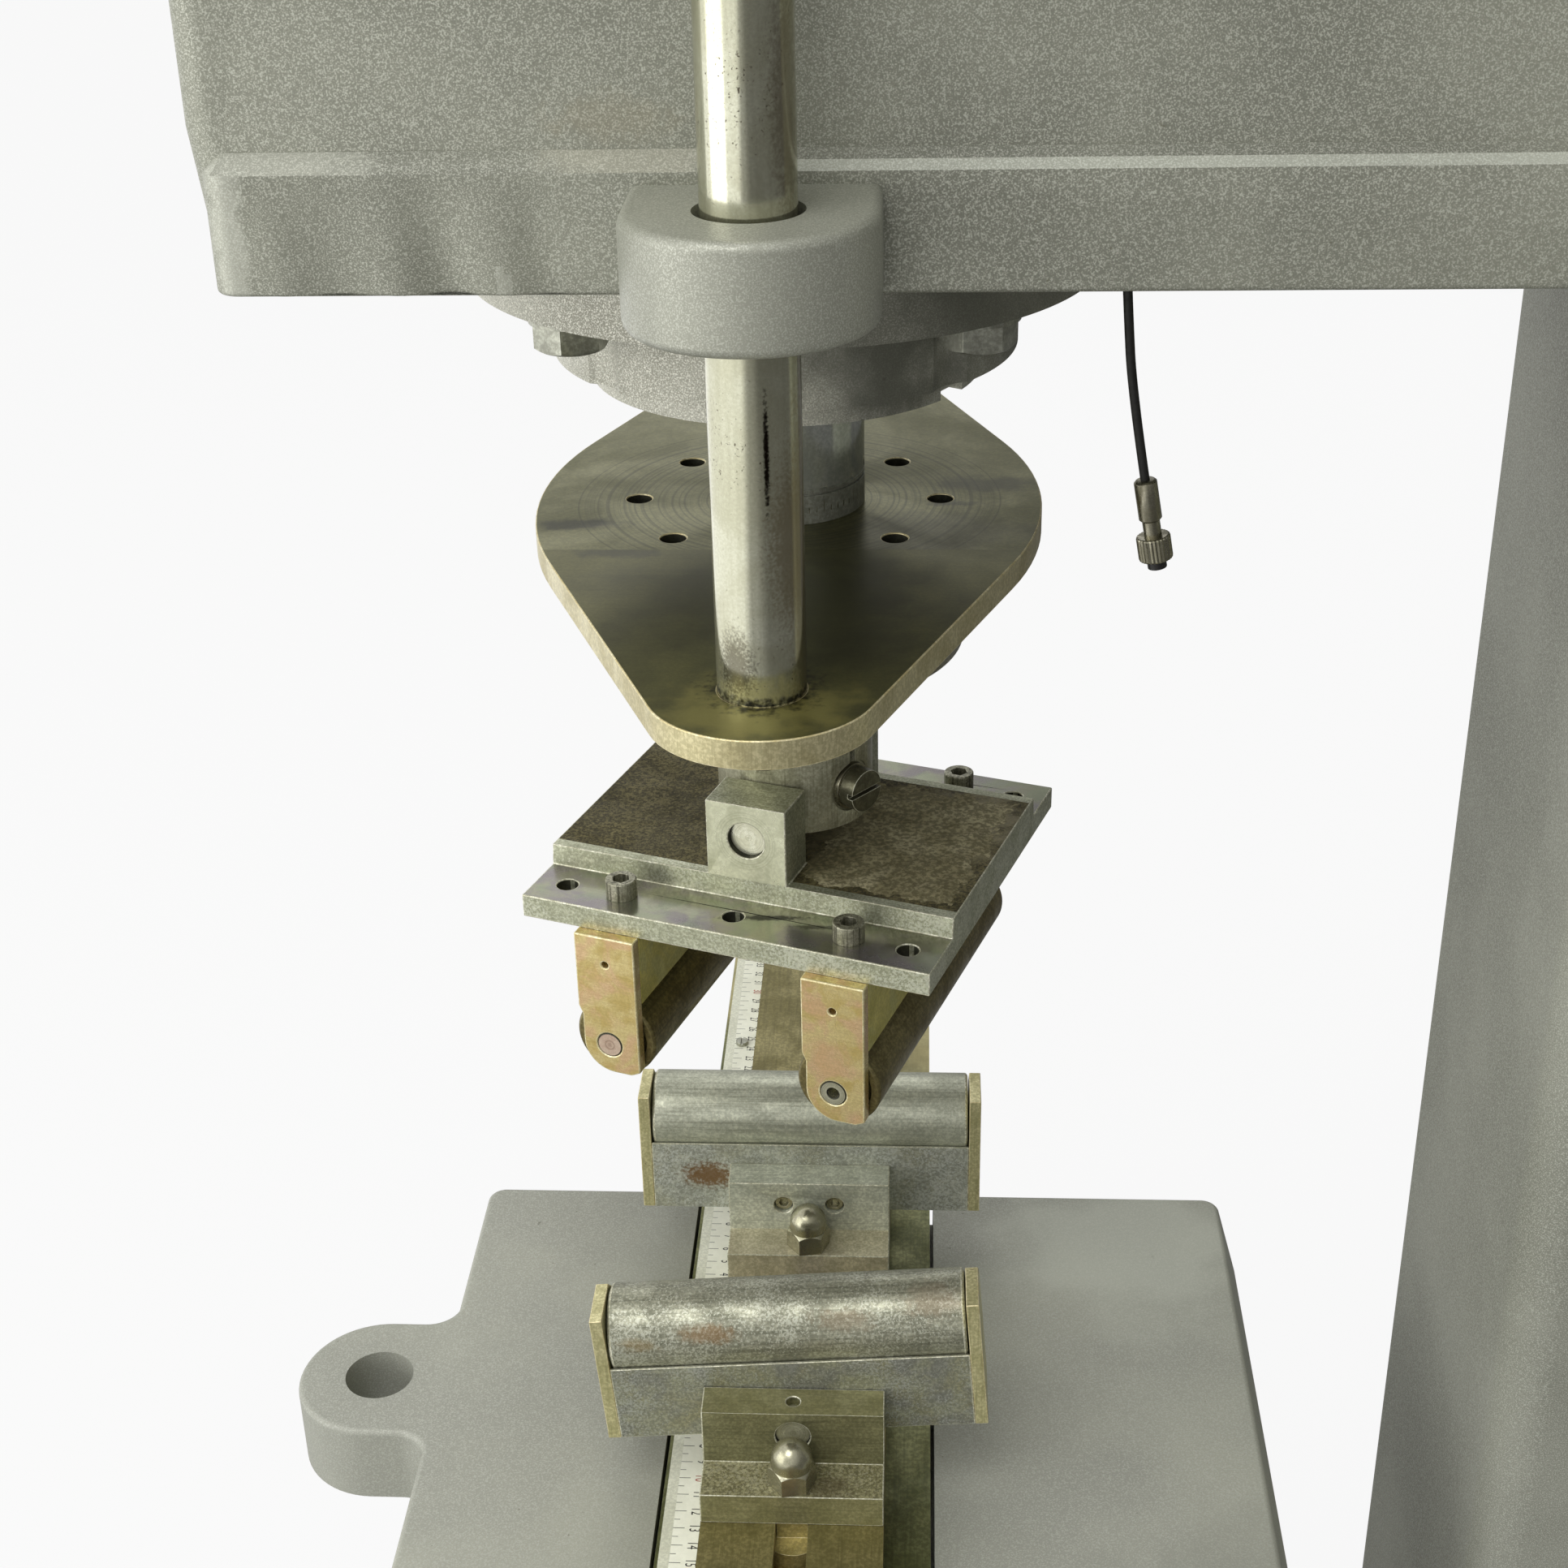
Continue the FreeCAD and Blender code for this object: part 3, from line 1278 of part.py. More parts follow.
def main():
    os.makedirs("parts", exist_ok=True)
    save("base_plate", bolt_holes(base_plate()))
    save("pedestal", bolt_holes(flanged_post(*pedestal_box, base_plate_thickness, table_bottom)))
    save("table", table())
    save("column", bolt_holes(flanged_post(*column_box, base_plate_thickness, arm_bottom)))
    save("upper_arm", arm())
    save("frame_bolts", frame_bolts())
    save("rail_bar", rail_bar())
    save("slot_bar", slot_bar())
    save("slot_bar_screws", slot_bar_screws())
    save("ruler", ruler())
    save("ruler_screws", ruler_screws())
    save("rail_screws", rail_screws())
    save("cylinder_flange", cylinder_flange())
    save("flange_bolts", flange_bolts())
    save("cylinder_barrel", cylinder_barrel())
    save("cylinder_cap", cylinder_cap())
    save("cap_bolts", cap_bolts())
    save("rod_bush", rod_bush())
    save("rod_wiper", rod_wiper())
    save("oil_unions", oil_unions())
    save("cable_gland", cable_gland())
    save("signal_cable", cable())
    body, collar, tip = connector_parts()
    save("connector_body", body)
    save("connector_ring", collar)
    save("connector_tip", tip)
    save("piston", piston())
    save("piston_seals", piston_seals())
    save("mark_ring", mark_ring())
    save("guide_plate", guide_plate())
    save("guide_rod_front", guide_rod(-1))
    save("guide_rod_back", guide_rod(1))
    save("guide_rod_screws", guide_rod_screws())
    save("spindle_hub", spindle_hub())
    save("hub_screws", hub_screws())
    save("head_sleeve", head_sleeve())
    save("clamp_washer", clamp_washer())
    save("clamp_screw", clamp_screw())
    save("loading_plate", loading_plate())
    save("tilt_pin", tilt_pin())
    save("plate_screws", plate_screws())
    save("holder_bar_left", holder_bar(-1))
    save("holder_bar_right", holder_bar(1))
    save("holder_ends", holder_ends())
    save("upper_axles", upper_axles())
    save("upper_roller_left", upper_roller(-1))
    save("upper_roller_right", upper_roller(1))
    save("front_block", clamp_block(front_support_place, True))
    save("front_t_bolt", t_bolt(front_support_place))
    save("front_dome_nut", dome_nut(front_support_place))
    save("front_pivot_pin", pivot_pin(front_support_place))
    front_face = front_support_place + face_gap
    save("front_cradle_bar", rocked(cradle_bar(front_face, front_cradle_lift, True)))
    save("front_cradle_ends", [rocked(end) for end in cradle_ends(front_face, front_cradle_lift)])
    save("front_roller", rocked(lower_roller(front_face, front_cradle_lift)))
    save("back_block", clamp_block(back_support_place, False))
    save("back_t_bolt", t_bolt(back_support_place))
    save("back_dome_nut", dome_nut(back_support_place))
    save("back_block_screws", block_screws(back_support_place))
    save("back_cradle_bar", cradle_bar(back_support_place, back_cradle_lift, False))
    save("back_cradle_ends", cradle_ends(back_support_place, back_cradle_lift))
    save("back_roller", lower_roller(back_support_place, back_cradle_lift))


main()
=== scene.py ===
"""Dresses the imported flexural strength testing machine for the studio.

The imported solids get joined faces, broken edges and plated, turned or painted
finishes, and the cast arm gets the waves of its skirt. The ruler's marks, the
ram ring's marks, the knurled connector, the cable and the dust on the loading
plate are modelled here.
"""

import json
import logging
import math
from dataclasses import dataclass, field
from enum import Enum
from typing import Callable, Optional, Sequence

import bmesh
import bpy
from mathutils import Matrix, Vector


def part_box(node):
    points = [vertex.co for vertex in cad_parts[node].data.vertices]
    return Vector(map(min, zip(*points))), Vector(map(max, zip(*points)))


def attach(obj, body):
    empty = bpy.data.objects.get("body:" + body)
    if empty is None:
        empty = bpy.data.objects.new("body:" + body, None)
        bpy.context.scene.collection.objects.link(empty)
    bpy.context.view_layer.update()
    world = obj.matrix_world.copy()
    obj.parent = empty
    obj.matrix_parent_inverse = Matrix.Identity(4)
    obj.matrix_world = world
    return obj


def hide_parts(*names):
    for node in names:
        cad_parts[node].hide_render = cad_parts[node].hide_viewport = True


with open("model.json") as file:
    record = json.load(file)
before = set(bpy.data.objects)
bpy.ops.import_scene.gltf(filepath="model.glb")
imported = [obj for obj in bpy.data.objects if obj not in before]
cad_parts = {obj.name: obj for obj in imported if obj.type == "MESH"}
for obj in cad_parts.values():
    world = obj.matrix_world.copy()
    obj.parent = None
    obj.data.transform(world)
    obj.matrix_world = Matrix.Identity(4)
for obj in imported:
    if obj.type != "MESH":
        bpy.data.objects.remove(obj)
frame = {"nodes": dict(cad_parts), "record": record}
log = logging.getLogger("testing_machine")

MM = 0.001
Colour = tuple[float, float, float, float]


class Body(Enum):
    """The machine's bodies that pieces ride on."""

    FRAME = "frame"
    RAM = "ram"
    HEAD = "head"
    HEAD_CLAMP = "head_clamp"
    LOAD_PLATE = "load_plate"
    LEFT_UPPER_ROLLER = "left_upper_roller"
    RIGHT_UPPER_ROLLER = "right_upper_roller"
    FRONT_SUPPORT = "front_support"
    FRONT_NUT = "front_nut"
    FRONT_CRADLE = "front_cradle"
    FRONT_LOWER_ROLLER = "front_lower_roller"
    BACK_SUPPORT = "back_support"
    BACK_NUT = "back_nut"
    BACK_LOWER_ROLLER = "back_lower_roller"


class Way(Enum):
    """The direction that brushing or rolling marks run in."""

    ALONG_X = 0
    ALONG_Y = 1
    ALONG_Z = 2


def tone(code: str) -> Colour:
    """Turns a display colour code into linear light.

    Args:
        code: six hexadecimal digits, red first.

    Returns:
        The linear colour with full alpha.
    """
    values = []
    for start in (0, 2, 4):
        share = int(code[start:start + 2], 16) / 255
        values.append(share / 12.92 if share <= 0.04045 else ((share + 0.055) / 1.055) ** 2.4)
    return (values[0], values[1], values[2], 1.0)


class NodeBench:
    """Builds one material's node tree step by step."""

    def __init__(self, name: str) -> None:
        """Starts an empty material.

        Args:
            name: the material's name.
        """
        self.material = bpy.data.materials.new(name)
        self.material.use_nodes = True
        self.tree = self.material.node_tree
        self.tree.nodes.clear()
        output = self.tree.nodes.new("ShaderNodeOutputMaterial")
        self.shader = self.tree.nodes.new("ShaderNodeBsdfPrincipled")
        self.link(self.shader.outputs["BSDF"], output.inputs["Surface"])
        self.place = self.tree.nodes.new("ShaderNodeTexCoord").outputs["Object"]

    def link(self, source: bpy.types.NodeSocket, target: bpy.types.NodeSocket) -> None:
        """Joins two sockets."""
        self.tree.links.new(source, target)

    def feed(self, socket: bpy.types.NodeSocket, value: object) -> None:
        """Links a socket to another, or sets its number or colour."""
        if isinstance(value, bpy.types.NodeSocket):
            self.link(value, socket)
        else:
            socket.default_value = value

    def turned(self, degrees: Sequence[float] = (0, 0, 0), stretch: Sequence[float] = (1, 1, 1),
               shift: Sequence[float] = (0, 0, 0)) -> bpy.types.NodeSocket:
        """Gives the place on the piece, moved, turned and stretched.

        Args:
            degrees: turn about X, Y and Z.
            stretch: scale along X, Y and Z.
            shift: metres taken off the place first.

        Returns:
            The new place.
        """
        moved = self.tree.nodes.new("ShaderNodeVectorMath")
        moved.operation = "SUBTRACT"
        self.link(self.place, moved.inputs[0])
        moved.inputs[1].default_value = shift
        mapping = self.tree.nodes.new("ShaderNodeMapping")
        mapping.vector_type = "POINT"
        mapping.inputs["Rotation"].default_value = [math.radians(turn) for turn in degrees]
        self.link(moved.outputs[0], mapping.inputs["Vector"])
        scaled = self.tree.nodes.new("ShaderNodeVectorMath")
        scaled.operation = "MULTIPLY"
        self.link(mapping.outputs["Vector"], scaled.inputs[0])
        scaled.inputs[1].default_value = stretch
        return scaled.outputs[0]

    def noise(self, grain_mm: float, place: Optional[bpy.types.NodeSocket] = None, detail: float = 4.0,
              rough: float = 0.55, warp: float = 0.0) -> bpy.types.NodeSocket:
        """Makes cloudy noise.

        Args:
            grain_mm: the size of its largest clouds.
            place: where it reads, or None for the piece itself.
            detail: how many finer octaves it has.
            rough: the strength of each finer octave.
            warp: how far it is bent by itself.

        Returns:
            The noise, mostly between 0.3 and 0.7.
        """
        node = self.tree.nodes.new("ShaderNodeTexNoise")
        self.link(place or self.place, node.inputs["Vector"])
        node.inputs["Scale"].default_value = 1 / (grain_mm * MM)
        node.inputs["Detail"].default_value = detail
        node.inputs["Roughness"].default_value = rough
        node.inputs["Distortion"].default_value = warp
        return node.outputs["Fac"]

    def between(self, value: bpy.types.NodeSocket, low: float, high: float, first: float = 0.0,
                last: float = 1.0) -> bpy.types.NodeSocket:
        """Maps the span from low to high smoothly onto first to last."""
        node = self.tree.nodes.new("ShaderNodeMapRange")
        node.interpolation_type = "SMOOTHSTEP"
        self.link(value, node.inputs["Value"])
        node.inputs["From Min"].default_value = low
        node.inputs["From Max"].default_value = high
        node.inputs["To Min"].default_value = first
        node.inputs["To Max"].default_value = last
        return node.outputs["Result"]

    def reckon(self, kind: str, first: object, second: object) -> bpy.types.NodeSocket:
        """Does one step of arithmetic, such as ADD or MULTIPLY."""
        node = self.tree.nodes.new("ShaderNodeMath")
        node.operation = kind
        self.feed(node.inputs[0], first)
        self.feed(node.inputs[1], second)
        return node.outputs[0]

    def blend(self, share: object, under: object, over: object) -> bpy.types.NodeSocket:
        """Mixes one colour over another."""
        node = self.tree.nodes.new("ShaderNodeMix")
        node.data_type = "RGBA"
        self.feed(node.inputs["Factor"], share)
        self.feed(node.inputs[6], under)
        self.feed(node.inputs[7], over)
        return node.outputs[2]

    def distance(self, place: bpy.types.NodeSocket) -> bpy.types.NodeSocket:
        """Gives the length of a place seen as an arrow."""
        node = self.tree.nodes.new("ShaderNodeVectorMath")
        node.operation = "LENGTH"
        self.link(place, node.inputs[0])
        return node.outputs["Value"]

    def relief(self, height: bpy.types.NodeSocket, depth_mm: float) -> None:
        """Adds bumps of a given depth to the surface."""
        node = self.tree.nodes.new("ShaderNodeBump")
        node.inputs["Distance"].default_value = depth_mm * MM
        node.inputs["Strength"].default_value = 1.0
        self.link(height, node.inputs["Height"])
        self.link(node.outputs["Normal"], self.shader.inputs["Normal"])


@dataclass(frozen=True)
class Stain:
    """A local patch with a ragged edge, used for rust, dust and other staining and for painted shade,
    shadows, highlights and reflections.
    """

    centre_mm: tuple[float, float, float]
    radius_mm: float
    colour: str
    share: float = 0.8
    ragged_mm: float = 3.0
    squash: tuple[float, float, float] = (1, 1, 1)

    def lay(self, bench: NodeBench, under: object) -> bpy.types.NodeSocket:
        """Lays the patch over a colour.

        Args:
            bench: the material being built.
            under: the colour beneath.

        Returns:
            The colour with the patch on it.
        """
        place = bench.turned(shift=[value * MM for value in self.centre_mm], stretch=self.squash)
        edge = bench.reckon("MULTIPLY", bench.noise(self.ragged_mm, detail=5), self.radius_mm * MM * 1.6)
        reach = bench.reckon("ADD", bench.distance(place), edge)
        mask = bench.between(reach, self.radius_mm * MM * 1.2, self.radius_mm * MM * 1.9, self.share, 0.0)
        return bench.blend(mask, under, tone(self.colour))


@dataclass(frozen=True)
class CastPaint:
    """Metallic paint over a casting, with fine flakes, a dimpled skin, chips, staining and patches of
    painted light.
    """

    name: str
    colour: str
    shade: str
    flake: str
    flake_mm: float = 0.55
    flake_share: float = 0.62
    skin_share: float = 0.4
    dimple_mm: float = 0.05
    roughness: float = 0.5
    metal: float = 0.3
    chip_mm: float = 6.0
    chips: float = 0.76
    stains: tuple[Stain, ...] = ()

    def make(self) -> bpy.types.Material:
        """Builds the material.

        Returns:
            The finished material.
        """
        bench = NodeBench(self.name)
        clouds = bench.between(bench.noise(140, detail=3), 0.35, 0.65)
        flakes = bench.noise(self.flake_mm, detail=2, rough=0.6)
        skin = bench.noise(self.flake_mm * 1.7, detail=2, rough=0.6)
        base = bench.blend(clouds, tone(self.colour), tone(self.shade))
        base = bench.blend(bench.between(skin, 0.34, 0.52, self.skin_share, 0.0), base, tone(self.shade))
        base = bench.blend(bench.between(flakes, 0.46, 0.66, 0.0, self.flake_share), base, tone(self.flake))
        chips = bench.between(bench.noise(self.chip_mm, detail=2), self.chips, self.chips + 0.02, 0.0, 0.6)
        base = bench.blend(chips, base, tone("5f5d4c"))
        for overlay in self.stains:
            base = overlay.lay(bench, base)
        bench.link(base, bench.shader.inputs["Base Color"])
        bench.link(bench.between(flakes, 0.35, 0.7, self.roughness + 0.1, self.roughness - 0.1),
                   bench.shader.inputs["Roughness"])
        bench.shader.inputs["Metallic"].default_value = self.metal
        height = bench.reckon("ADD", skin, bench.reckon("MULTIPLY", flakes, 0.3))
        bench.relief(height, self.dimple_mm)
        return bench.material


@dataclass(frozen=True)
class Rings:
    """Turning marks round an axis."""

    centre_mm: tuple[float, float, float]
    turn: tuple[float, float, float] = (0, 0, 0)
    axis: Way = Way.ALONG_Z
    pitch_mm: float = 1.6
    reach_mm: float = 1000.0


@dataclass(frozen=True)
class Steel:
    """Bare or plated steel with blotches, marks, specks, staining and patches of painted light."""

    name: str
    colour: str
    tint: str
    dark: str
    sheen: str = ""
    sheen_share: float = 0.6
    sheen_mm: float = 30.0
    blotch_mm: float = 25.0
    speck_mm: float = 1.4
    speck_share: float = 0.4
    frost: float = 0.0
    frost_mm: float = 1.1
    frost_colour: str = "b4b6ac"
    pit: float = 0.0
    pit_mm: float = 2.2
    pit_colour: str = "3a2c1c"
    way: Optional[Way] = None
    turn: tuple[float, float, float] = (0, 0, 0)
    streak_mm: float = 0.8
    streak_share: float = 0.4
    rings: Optional[Rings] = None
    smooth: float = 0.28
    dull: float = 0.5
    metal: float = 0.9
    bump_mm: float = 0.02
    stains: tuple[Stain, ...] = ()

    def make(self) -> bpy.types.Material:
        """Builds the material.

        Returns:
            The finished material.
        """
        bench = NodeBench(self.name)
        clouds = bench.noise(self.blotch_mm, detail=6, rough=0.6, warp=0.6)
        base = bench.blend(bench.between(clouds, 0.38, 0.62), tone(self.colour), tone(self.tint))
        if self.sheen:
            wash = bench.noise(self.sheen_mm, bench.turned(shift=(0.3, 0.7, 0.1)), detail=3, warp=0.8)
            share = bench.between(wash, 0.45, 0.62, 0.0, self.sheen_share)
            base = bench.blend(share, base, tone(self.sheen))
        specks = bench.noise(self.speck_mm, detail=3, rough=0.65)
        dark_share = bench.between(specks, 0.42, 0.62, self.speck_share, 0.0)
        base = bench.blend(dark_share, base, tone(self.dark))
        height = specks
        marks = self.marks(bench)
        if marks is not None:
            streaks = bench.between(marks, 0.45, 0.68, 0.0, self.streak_share)
            base = bench.blend(streaks, base, tone(self.dark))
            height = bench.reckon("ADD", height, bench.reckon("MULTIPLY", marks, 1.5))
        if self.pit:
            pits = bench.noise(self.pit_mm, detail=4, rough=0.7)
            crowd = bench.noise(45, detail=2)
            level = bench.reckon("ADD", pits, bench.reckon("MULTIPLY", crowd, 0.35))
            share = bench.between(level, 0.90 - self.pit, 0.93 - self.pit, 0.0, 0.85)
            base = bench.blend(share, base, tone(self.pit_colour))
            height = bench.reckon("SUBTRACT", height, bench.reckon("MULTIPLY", share, 3.0))
        if self.frost:
            grains = bench.noise(self.frost_mm, bench.turned(shift=(0.2, 0.1, 0.5)), detail=3, rough=0.7)
            fields = bench.noise(26, bench.turned(shift=(0.6, 0.4, 0.2)), detail=3)
            level = bench.reckon("ADD", grains, bench.reckon("MULTIPLY", fields, 0.45))
            share = bench.between(level, 0.755, 0.815, 0.0, self.frost)
            base = bench.blend(share, base, tone(self.frost_colour))
        for overlay in self.stains:
            base = overlay.lay(bench, base)
        bench.link(base, bench.shader.inputs["Base Color"])
        roughness = bench.between(clouds, 0.3, 0.7, self.smooth, self.dull)
        bench.link(roughness, bench.shader.inputs["Roughness"])
        bench.shader.inputs["Metallic"].default_value = self.metal
        bench.relief(height, self.bump_mm)
        return bench.material

    def marks(self, bench: NodeBench) -> Optional[bpy.types.NodeSocket]:
        """Makes the brushing, rolling or turning marks.

        Args:
            bench: the material being built.

        Returns:
            The marks' strength, or None where there are none.
        """
        if self.rings is not None:
            shift = [value * MM for value in self.rings.centre_mm]
            flat = [1.0, 1.0, 1.0]
            flat[self.rings.axis.value] = 0.0
            place = bench.turned(self.rings.turn, flat, shift)
            radius = bench.distance(place)
            node = bench.tree.nodes.new("ShaderNodeTexNoise")
            node.noise_dimensions = "1D"
            bench.link(radius, node.inputs["W"])
            node.inputs["Scale"].default_value = 1 / (self.rings.pitch_mm * MM)
            node.inputs["Detail"].default_value = 3
            reach = self.rings.reach_mm * MM
            fade = bench.between(radius, reach, reach * 1.05, 1.0, 0.0)
            return bench.reckon("MULTIPLY", node.outputs["Fac"], fade)
        if self.way is None:
            return None
        stretch = [1.0, 1.0, 1.0]
        stretch[self.way.value] = 0.03
        return bench.noise(self.streak_mm, bench.turned(self.turn, stretch), detail=4, rough=0.6)


# Turns in degrees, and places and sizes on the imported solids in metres.
HEAD_TURN = 19.2
CRADLE_TILT = 4.5
LUG_RISE = 34.0 * MM
DECK_HALF = 54.0 * MM
DECK_STRIP = 5.0 * MM
PLATE_HALF_WIDTH = 89.0 * MM
PLATE_HALF_DEPTH = 83.0 * MM
RULER_BORDER = 4.8 * MM
SHELF_TOP = 1.040
SHELF_MIDDLE = 1.032
PIVOT_RISE = 30.5 * MM
PIVOT_REACH = 8.5 * MM
FOOT_RISE = 18.0 * MM
SLOT_DEPTH = 18.0 * MM
LEDGE_DROP = 15.0 * MM
BOSS_ROOT = 0.1475
SATIN_FRONT = -0.0545
TOOL_REACH = 0.072
BORE_REACH = 12.0 * MM
ON_HEAD = (0, 0, HEAD_TURN)
ON_CRADLE = (0, CRADLE_TILT, 0)

# Finishes: display colours, and grains, bumps and places of staining and painted light in millimetres.
# The arm paint's light patch at the skirt's left end is a painted highlight.
ARM_PAINT = CastPaint("arm_paint", "868779", "727367", "bfc0b2",
                      stains=(Stain((-170, -146, 1010), 8, "c6c7ba", 0.4, 9, (1, 1, 0.2)),
                              Stain((-45, -140, 1044), 12, "8f8468", 0.2, 7, (0.5, 1, 1.3))))
# Darker copy of the arm paint for the shelf left of the boss: painted shade against the light falling on
# the shelf. Its light patch at the shelf's far left is a painted highlight; the light patch near the boss
# is worn paint.
ARM_SHELF_SHADED = CastPaint("arm_shelf_shaded", "747568", "64655a", "a9aa9d",
                      stains=(Stain((-155, -143, 1033), 20, "b3b4a7", 0.35, 12, (0.5, 1, 1)),
                              Stain((-38, -143, 1033), 16, "aaa794", 0.3, 12, (0.5, 1, 1))))
# Slightly lighter paint on the arm's broken edges: partly worn paint, partly a painted highlight along the
# edges.
ARM_EDGE_WEAR_AND_HIGHLIGHT = CastPaint("arm_edge_wear_and_highlight", "8b8c7e", "797a6d", "c6c7b9", flake_share=0.55, skin_share=0.3)
# Lighter copy of the arm paint for the shelf right of the boss: a painted highlight along the shelf.
ARM_SHELF_HIGHLIGHT = CastPaint("arm_shelf_highlight", "a3a598", "94968a", "cdcfc2", flake_share=0.45, skin_share=0.25)
# Lighter, smoother copy of the arm paint for the boss; its lighter colour is painted light on the boss.
BOSS_LIT_PAINT = CastPaint("boss_lit_paint", "97988b", "898a7d", "c3c4b7", flake_share=0.5, skin_share=0.3,
                       roughness=0.42)
# The flange paint is a lighter copy of the arm paint, painted light on the flange's lit left side; its two
# dark patches on the right are painted shade under the arm, partly oil.
FLANGE_PAINT_LIT_AND_SHADED = CastPaint("flange_paint_lit_and_shaded", "c4c3b5", "8d8c7e", "ecebdd", flake_share=0.7, chips=0.74,
                         stains=(Stain((95, -60, 958), 90, "4c4d40", 0.75, 30),
                                 Stain((40, -100, 958), 60, "55564a", 0.6, 30)))
# The table paint's dark patch at the front right is painted shade, and its light patch at the back right is
# a painted reflection.
TABLE_PAINT = CastPaint("table_paint", "a3a496", "94958a", "b7b8ac", flake_mm=0.7, flake_share=0.5,
                        skin_share=0.3, dimple_mm=0.03, roughness=0.5, metal=0.15, chip_mm=3.5,
                        chips=0.755,
                        stains=(Stain((190, -190, 440), 90, "85867a", 0.5, 60),
                                Stain((150, 60, 440), 70, "c0c3b5", 0.5, 50)))
POST_PAINT = CastPaint("post_paint", "8f9084", "7b7c70", "b9bbae", dimple_mm=0.06, metal=0.15)
BOLT_STEEL = Steel("bolt_steel", "b9baab", "a0a093", "6c6c60", blotch_mm=6, smooth=0.3, dull=0.45,
                   metal=0.8)
BLACK_STEEL = Steel("black_steel", "56554a", "444339", "2a2922", blotch_mm=5, smooth=0.35, dull=0.55,
                    metal=0.7)
CLAMP_STEEL = Steel("clamp_steel", "716f5a", "5c5a47", "45432f", blotch_mm=4, speck_mm=0.8, smooth=0.28,
                    dull=0.42, metal=0.7)
# Bright colour on broken edges: partly worn metal, partly a painted highlight along the edges.
EDGE_WEAR_AND_HIGHLIGHT = Steel("edge_wear_and_highlight", "ecebd6", "cfcdb3", "77755a", blotch_mm=7, speck_mm=1.1, speck_share=0.55,
                  smooth=0.3, dull=0.5, metal=0.45)
# Bright gold colour on broken edges: a painted highlight along the edges.
GOLD_EDGE_HIGHLIGHT = Steel("gold_edge_highlight", "efe6bd", "d8cb98", "97875a", blotch_mm=7, speck_mm=1.1, speck_share=0.4,
                  smooth=0.3, dull=0.45, metal=0.5)
RAIL_STEEL = Steel("rail_steel", "7f8159", "63663f", "42452a", sheen="8a8a5c", sheen_mm=40, blotch_mm=34,
                   speck_mm=2.2, speck_share=0.5, way=Way.ALONG_Y, streak_mm=1.2, smooth=0.3, dull=0.5,
                   metal=0.6,
                   stains=(Stain((30, 330, 452), 130, "d3c592", 0.6, 50),))
SLOT_STEEL = Steel("slot_steel", "958c5e", "7d7549", "585230", blotch_mm=24, speck_mm=1.8,
                   speck_share=0.45, way=Way.ALONG_Y, streak_mm=1.0, smooth=0.3, dull=0.48, metal=0.6)
RULER_WHITE = Steel("ruler_white", "eff0df", "e3e4d2", "c6c7b5", blotch_mm=40, speck_mm=3,
                    speck_share=0.12, metal=0.0, smooth=0.35, dull=0.45, bump_mm=0.005)
SLOT_GOLD = Steel("slot_gold", "d9b154", "b89343", "6a5525", blotch_mm=18, way=Way.ALONG_Y, smooth=0.3,
                  dull=0.45, metal=0.5)
RULER_MARGIN = Steel("ruler_margin", "e0e1cd", "d2d3be", "adae9b", blotch_mm=30, metal=0.1, bump_mm=0.005)
GROUND_STEEL = Steel("ground_steel", "a5a69c", "97988e", "77786e", blotch_mm=40, way=Way.ALONG_Z)
BUSH_BRASS = Steel("bush_brass", "b8985a", "a58548", "7d6232", blotch_mm=12)
SEAL_RUBBER = Steel("seal_rubber", "262522", "1e1d1b", "12110f", blotch_mm=8, metal=0.0, smooth=0.6,
                    dull=0.75)
NICKEL = Steel("nickel", "a39f8c", "908c78", "6e6a56", blotch_mm=6, speck_mm=1.0, speck_share=0.25,
               smooth=0.2, dull=0.4, metal=0.95)
NUT_STEEL = Steel("nut_steel", "b3b098", "9f9c83", "79765f", blotch_mm=7, speck_mm=1.0, speck_share=0.2,
                  smooth=0.18, dull=0.32, metal=0.85, bump_mm=0.008)
SCREW_DARK = Steel("screw_dark", "b9b7a0", "9d9b84", "3d3b2b", blotch_mm=5, speck_mm=0.9, way=Way.ALONG_Z,
                   streak_mm=1.0, streak_share=0.85, smooth=0.25, dull=0.4, metal=0.6, bump_mm=0.06)
TIP_BLACK = Steel("tip_black", "23221f", "1b1a18", "100f0e", blotch_mm=4, metal=0.0, smooth=0.4, dull=0.5)
PISTON_CHROME = Steel("piston_chrome", "d3d6cd", "c4c7be", "9b9e95", blotch_mm=30, way=Way.ALONG_Z,
                      streak_share=0.2, smooth=0.12, dull=0.22, metal=0.75, bump_mm=0.003)
RING_OXIDE = Steel("ring_oxide", "a3a497", "8c8d80", "5a5b50", blotch_mm=12, smooth=0.3, dull=0.4,
                   metal=0.4)
# The guide plate's large dark patch across its middle is painted shade and a painted dark reflection.
PLATE_OLIVE = Steel("plate_olive", "88865f", "706f4a", "4a4932", blotch_mm=60, speck_mm=1.4,
                    speck_share=0.3, rings=Rings((0, 0, 860), reach_mm=84, pitch_mm=1.7),
                    streak_share=0.6, smooth=0.28, dull=0.42, metal=0.75, bump_mm=0.015,
                    stains=(Stain((40, -44, 866), 40, "3c3b29", 0.55, 20, (0.6, 1.3, 1)),
                            Stain((-80, -28, 866), 20, "33332a", 0.7, 9, (1, 2.6, 1)),
                            Stain((80, 16, 866), 24, "3f3f31", 0.6, 9, (1, 2.2, 1)),
                            Stain((66, -6, 866), 13, "35352b", 0.55, 5, (1, 4, 1))))
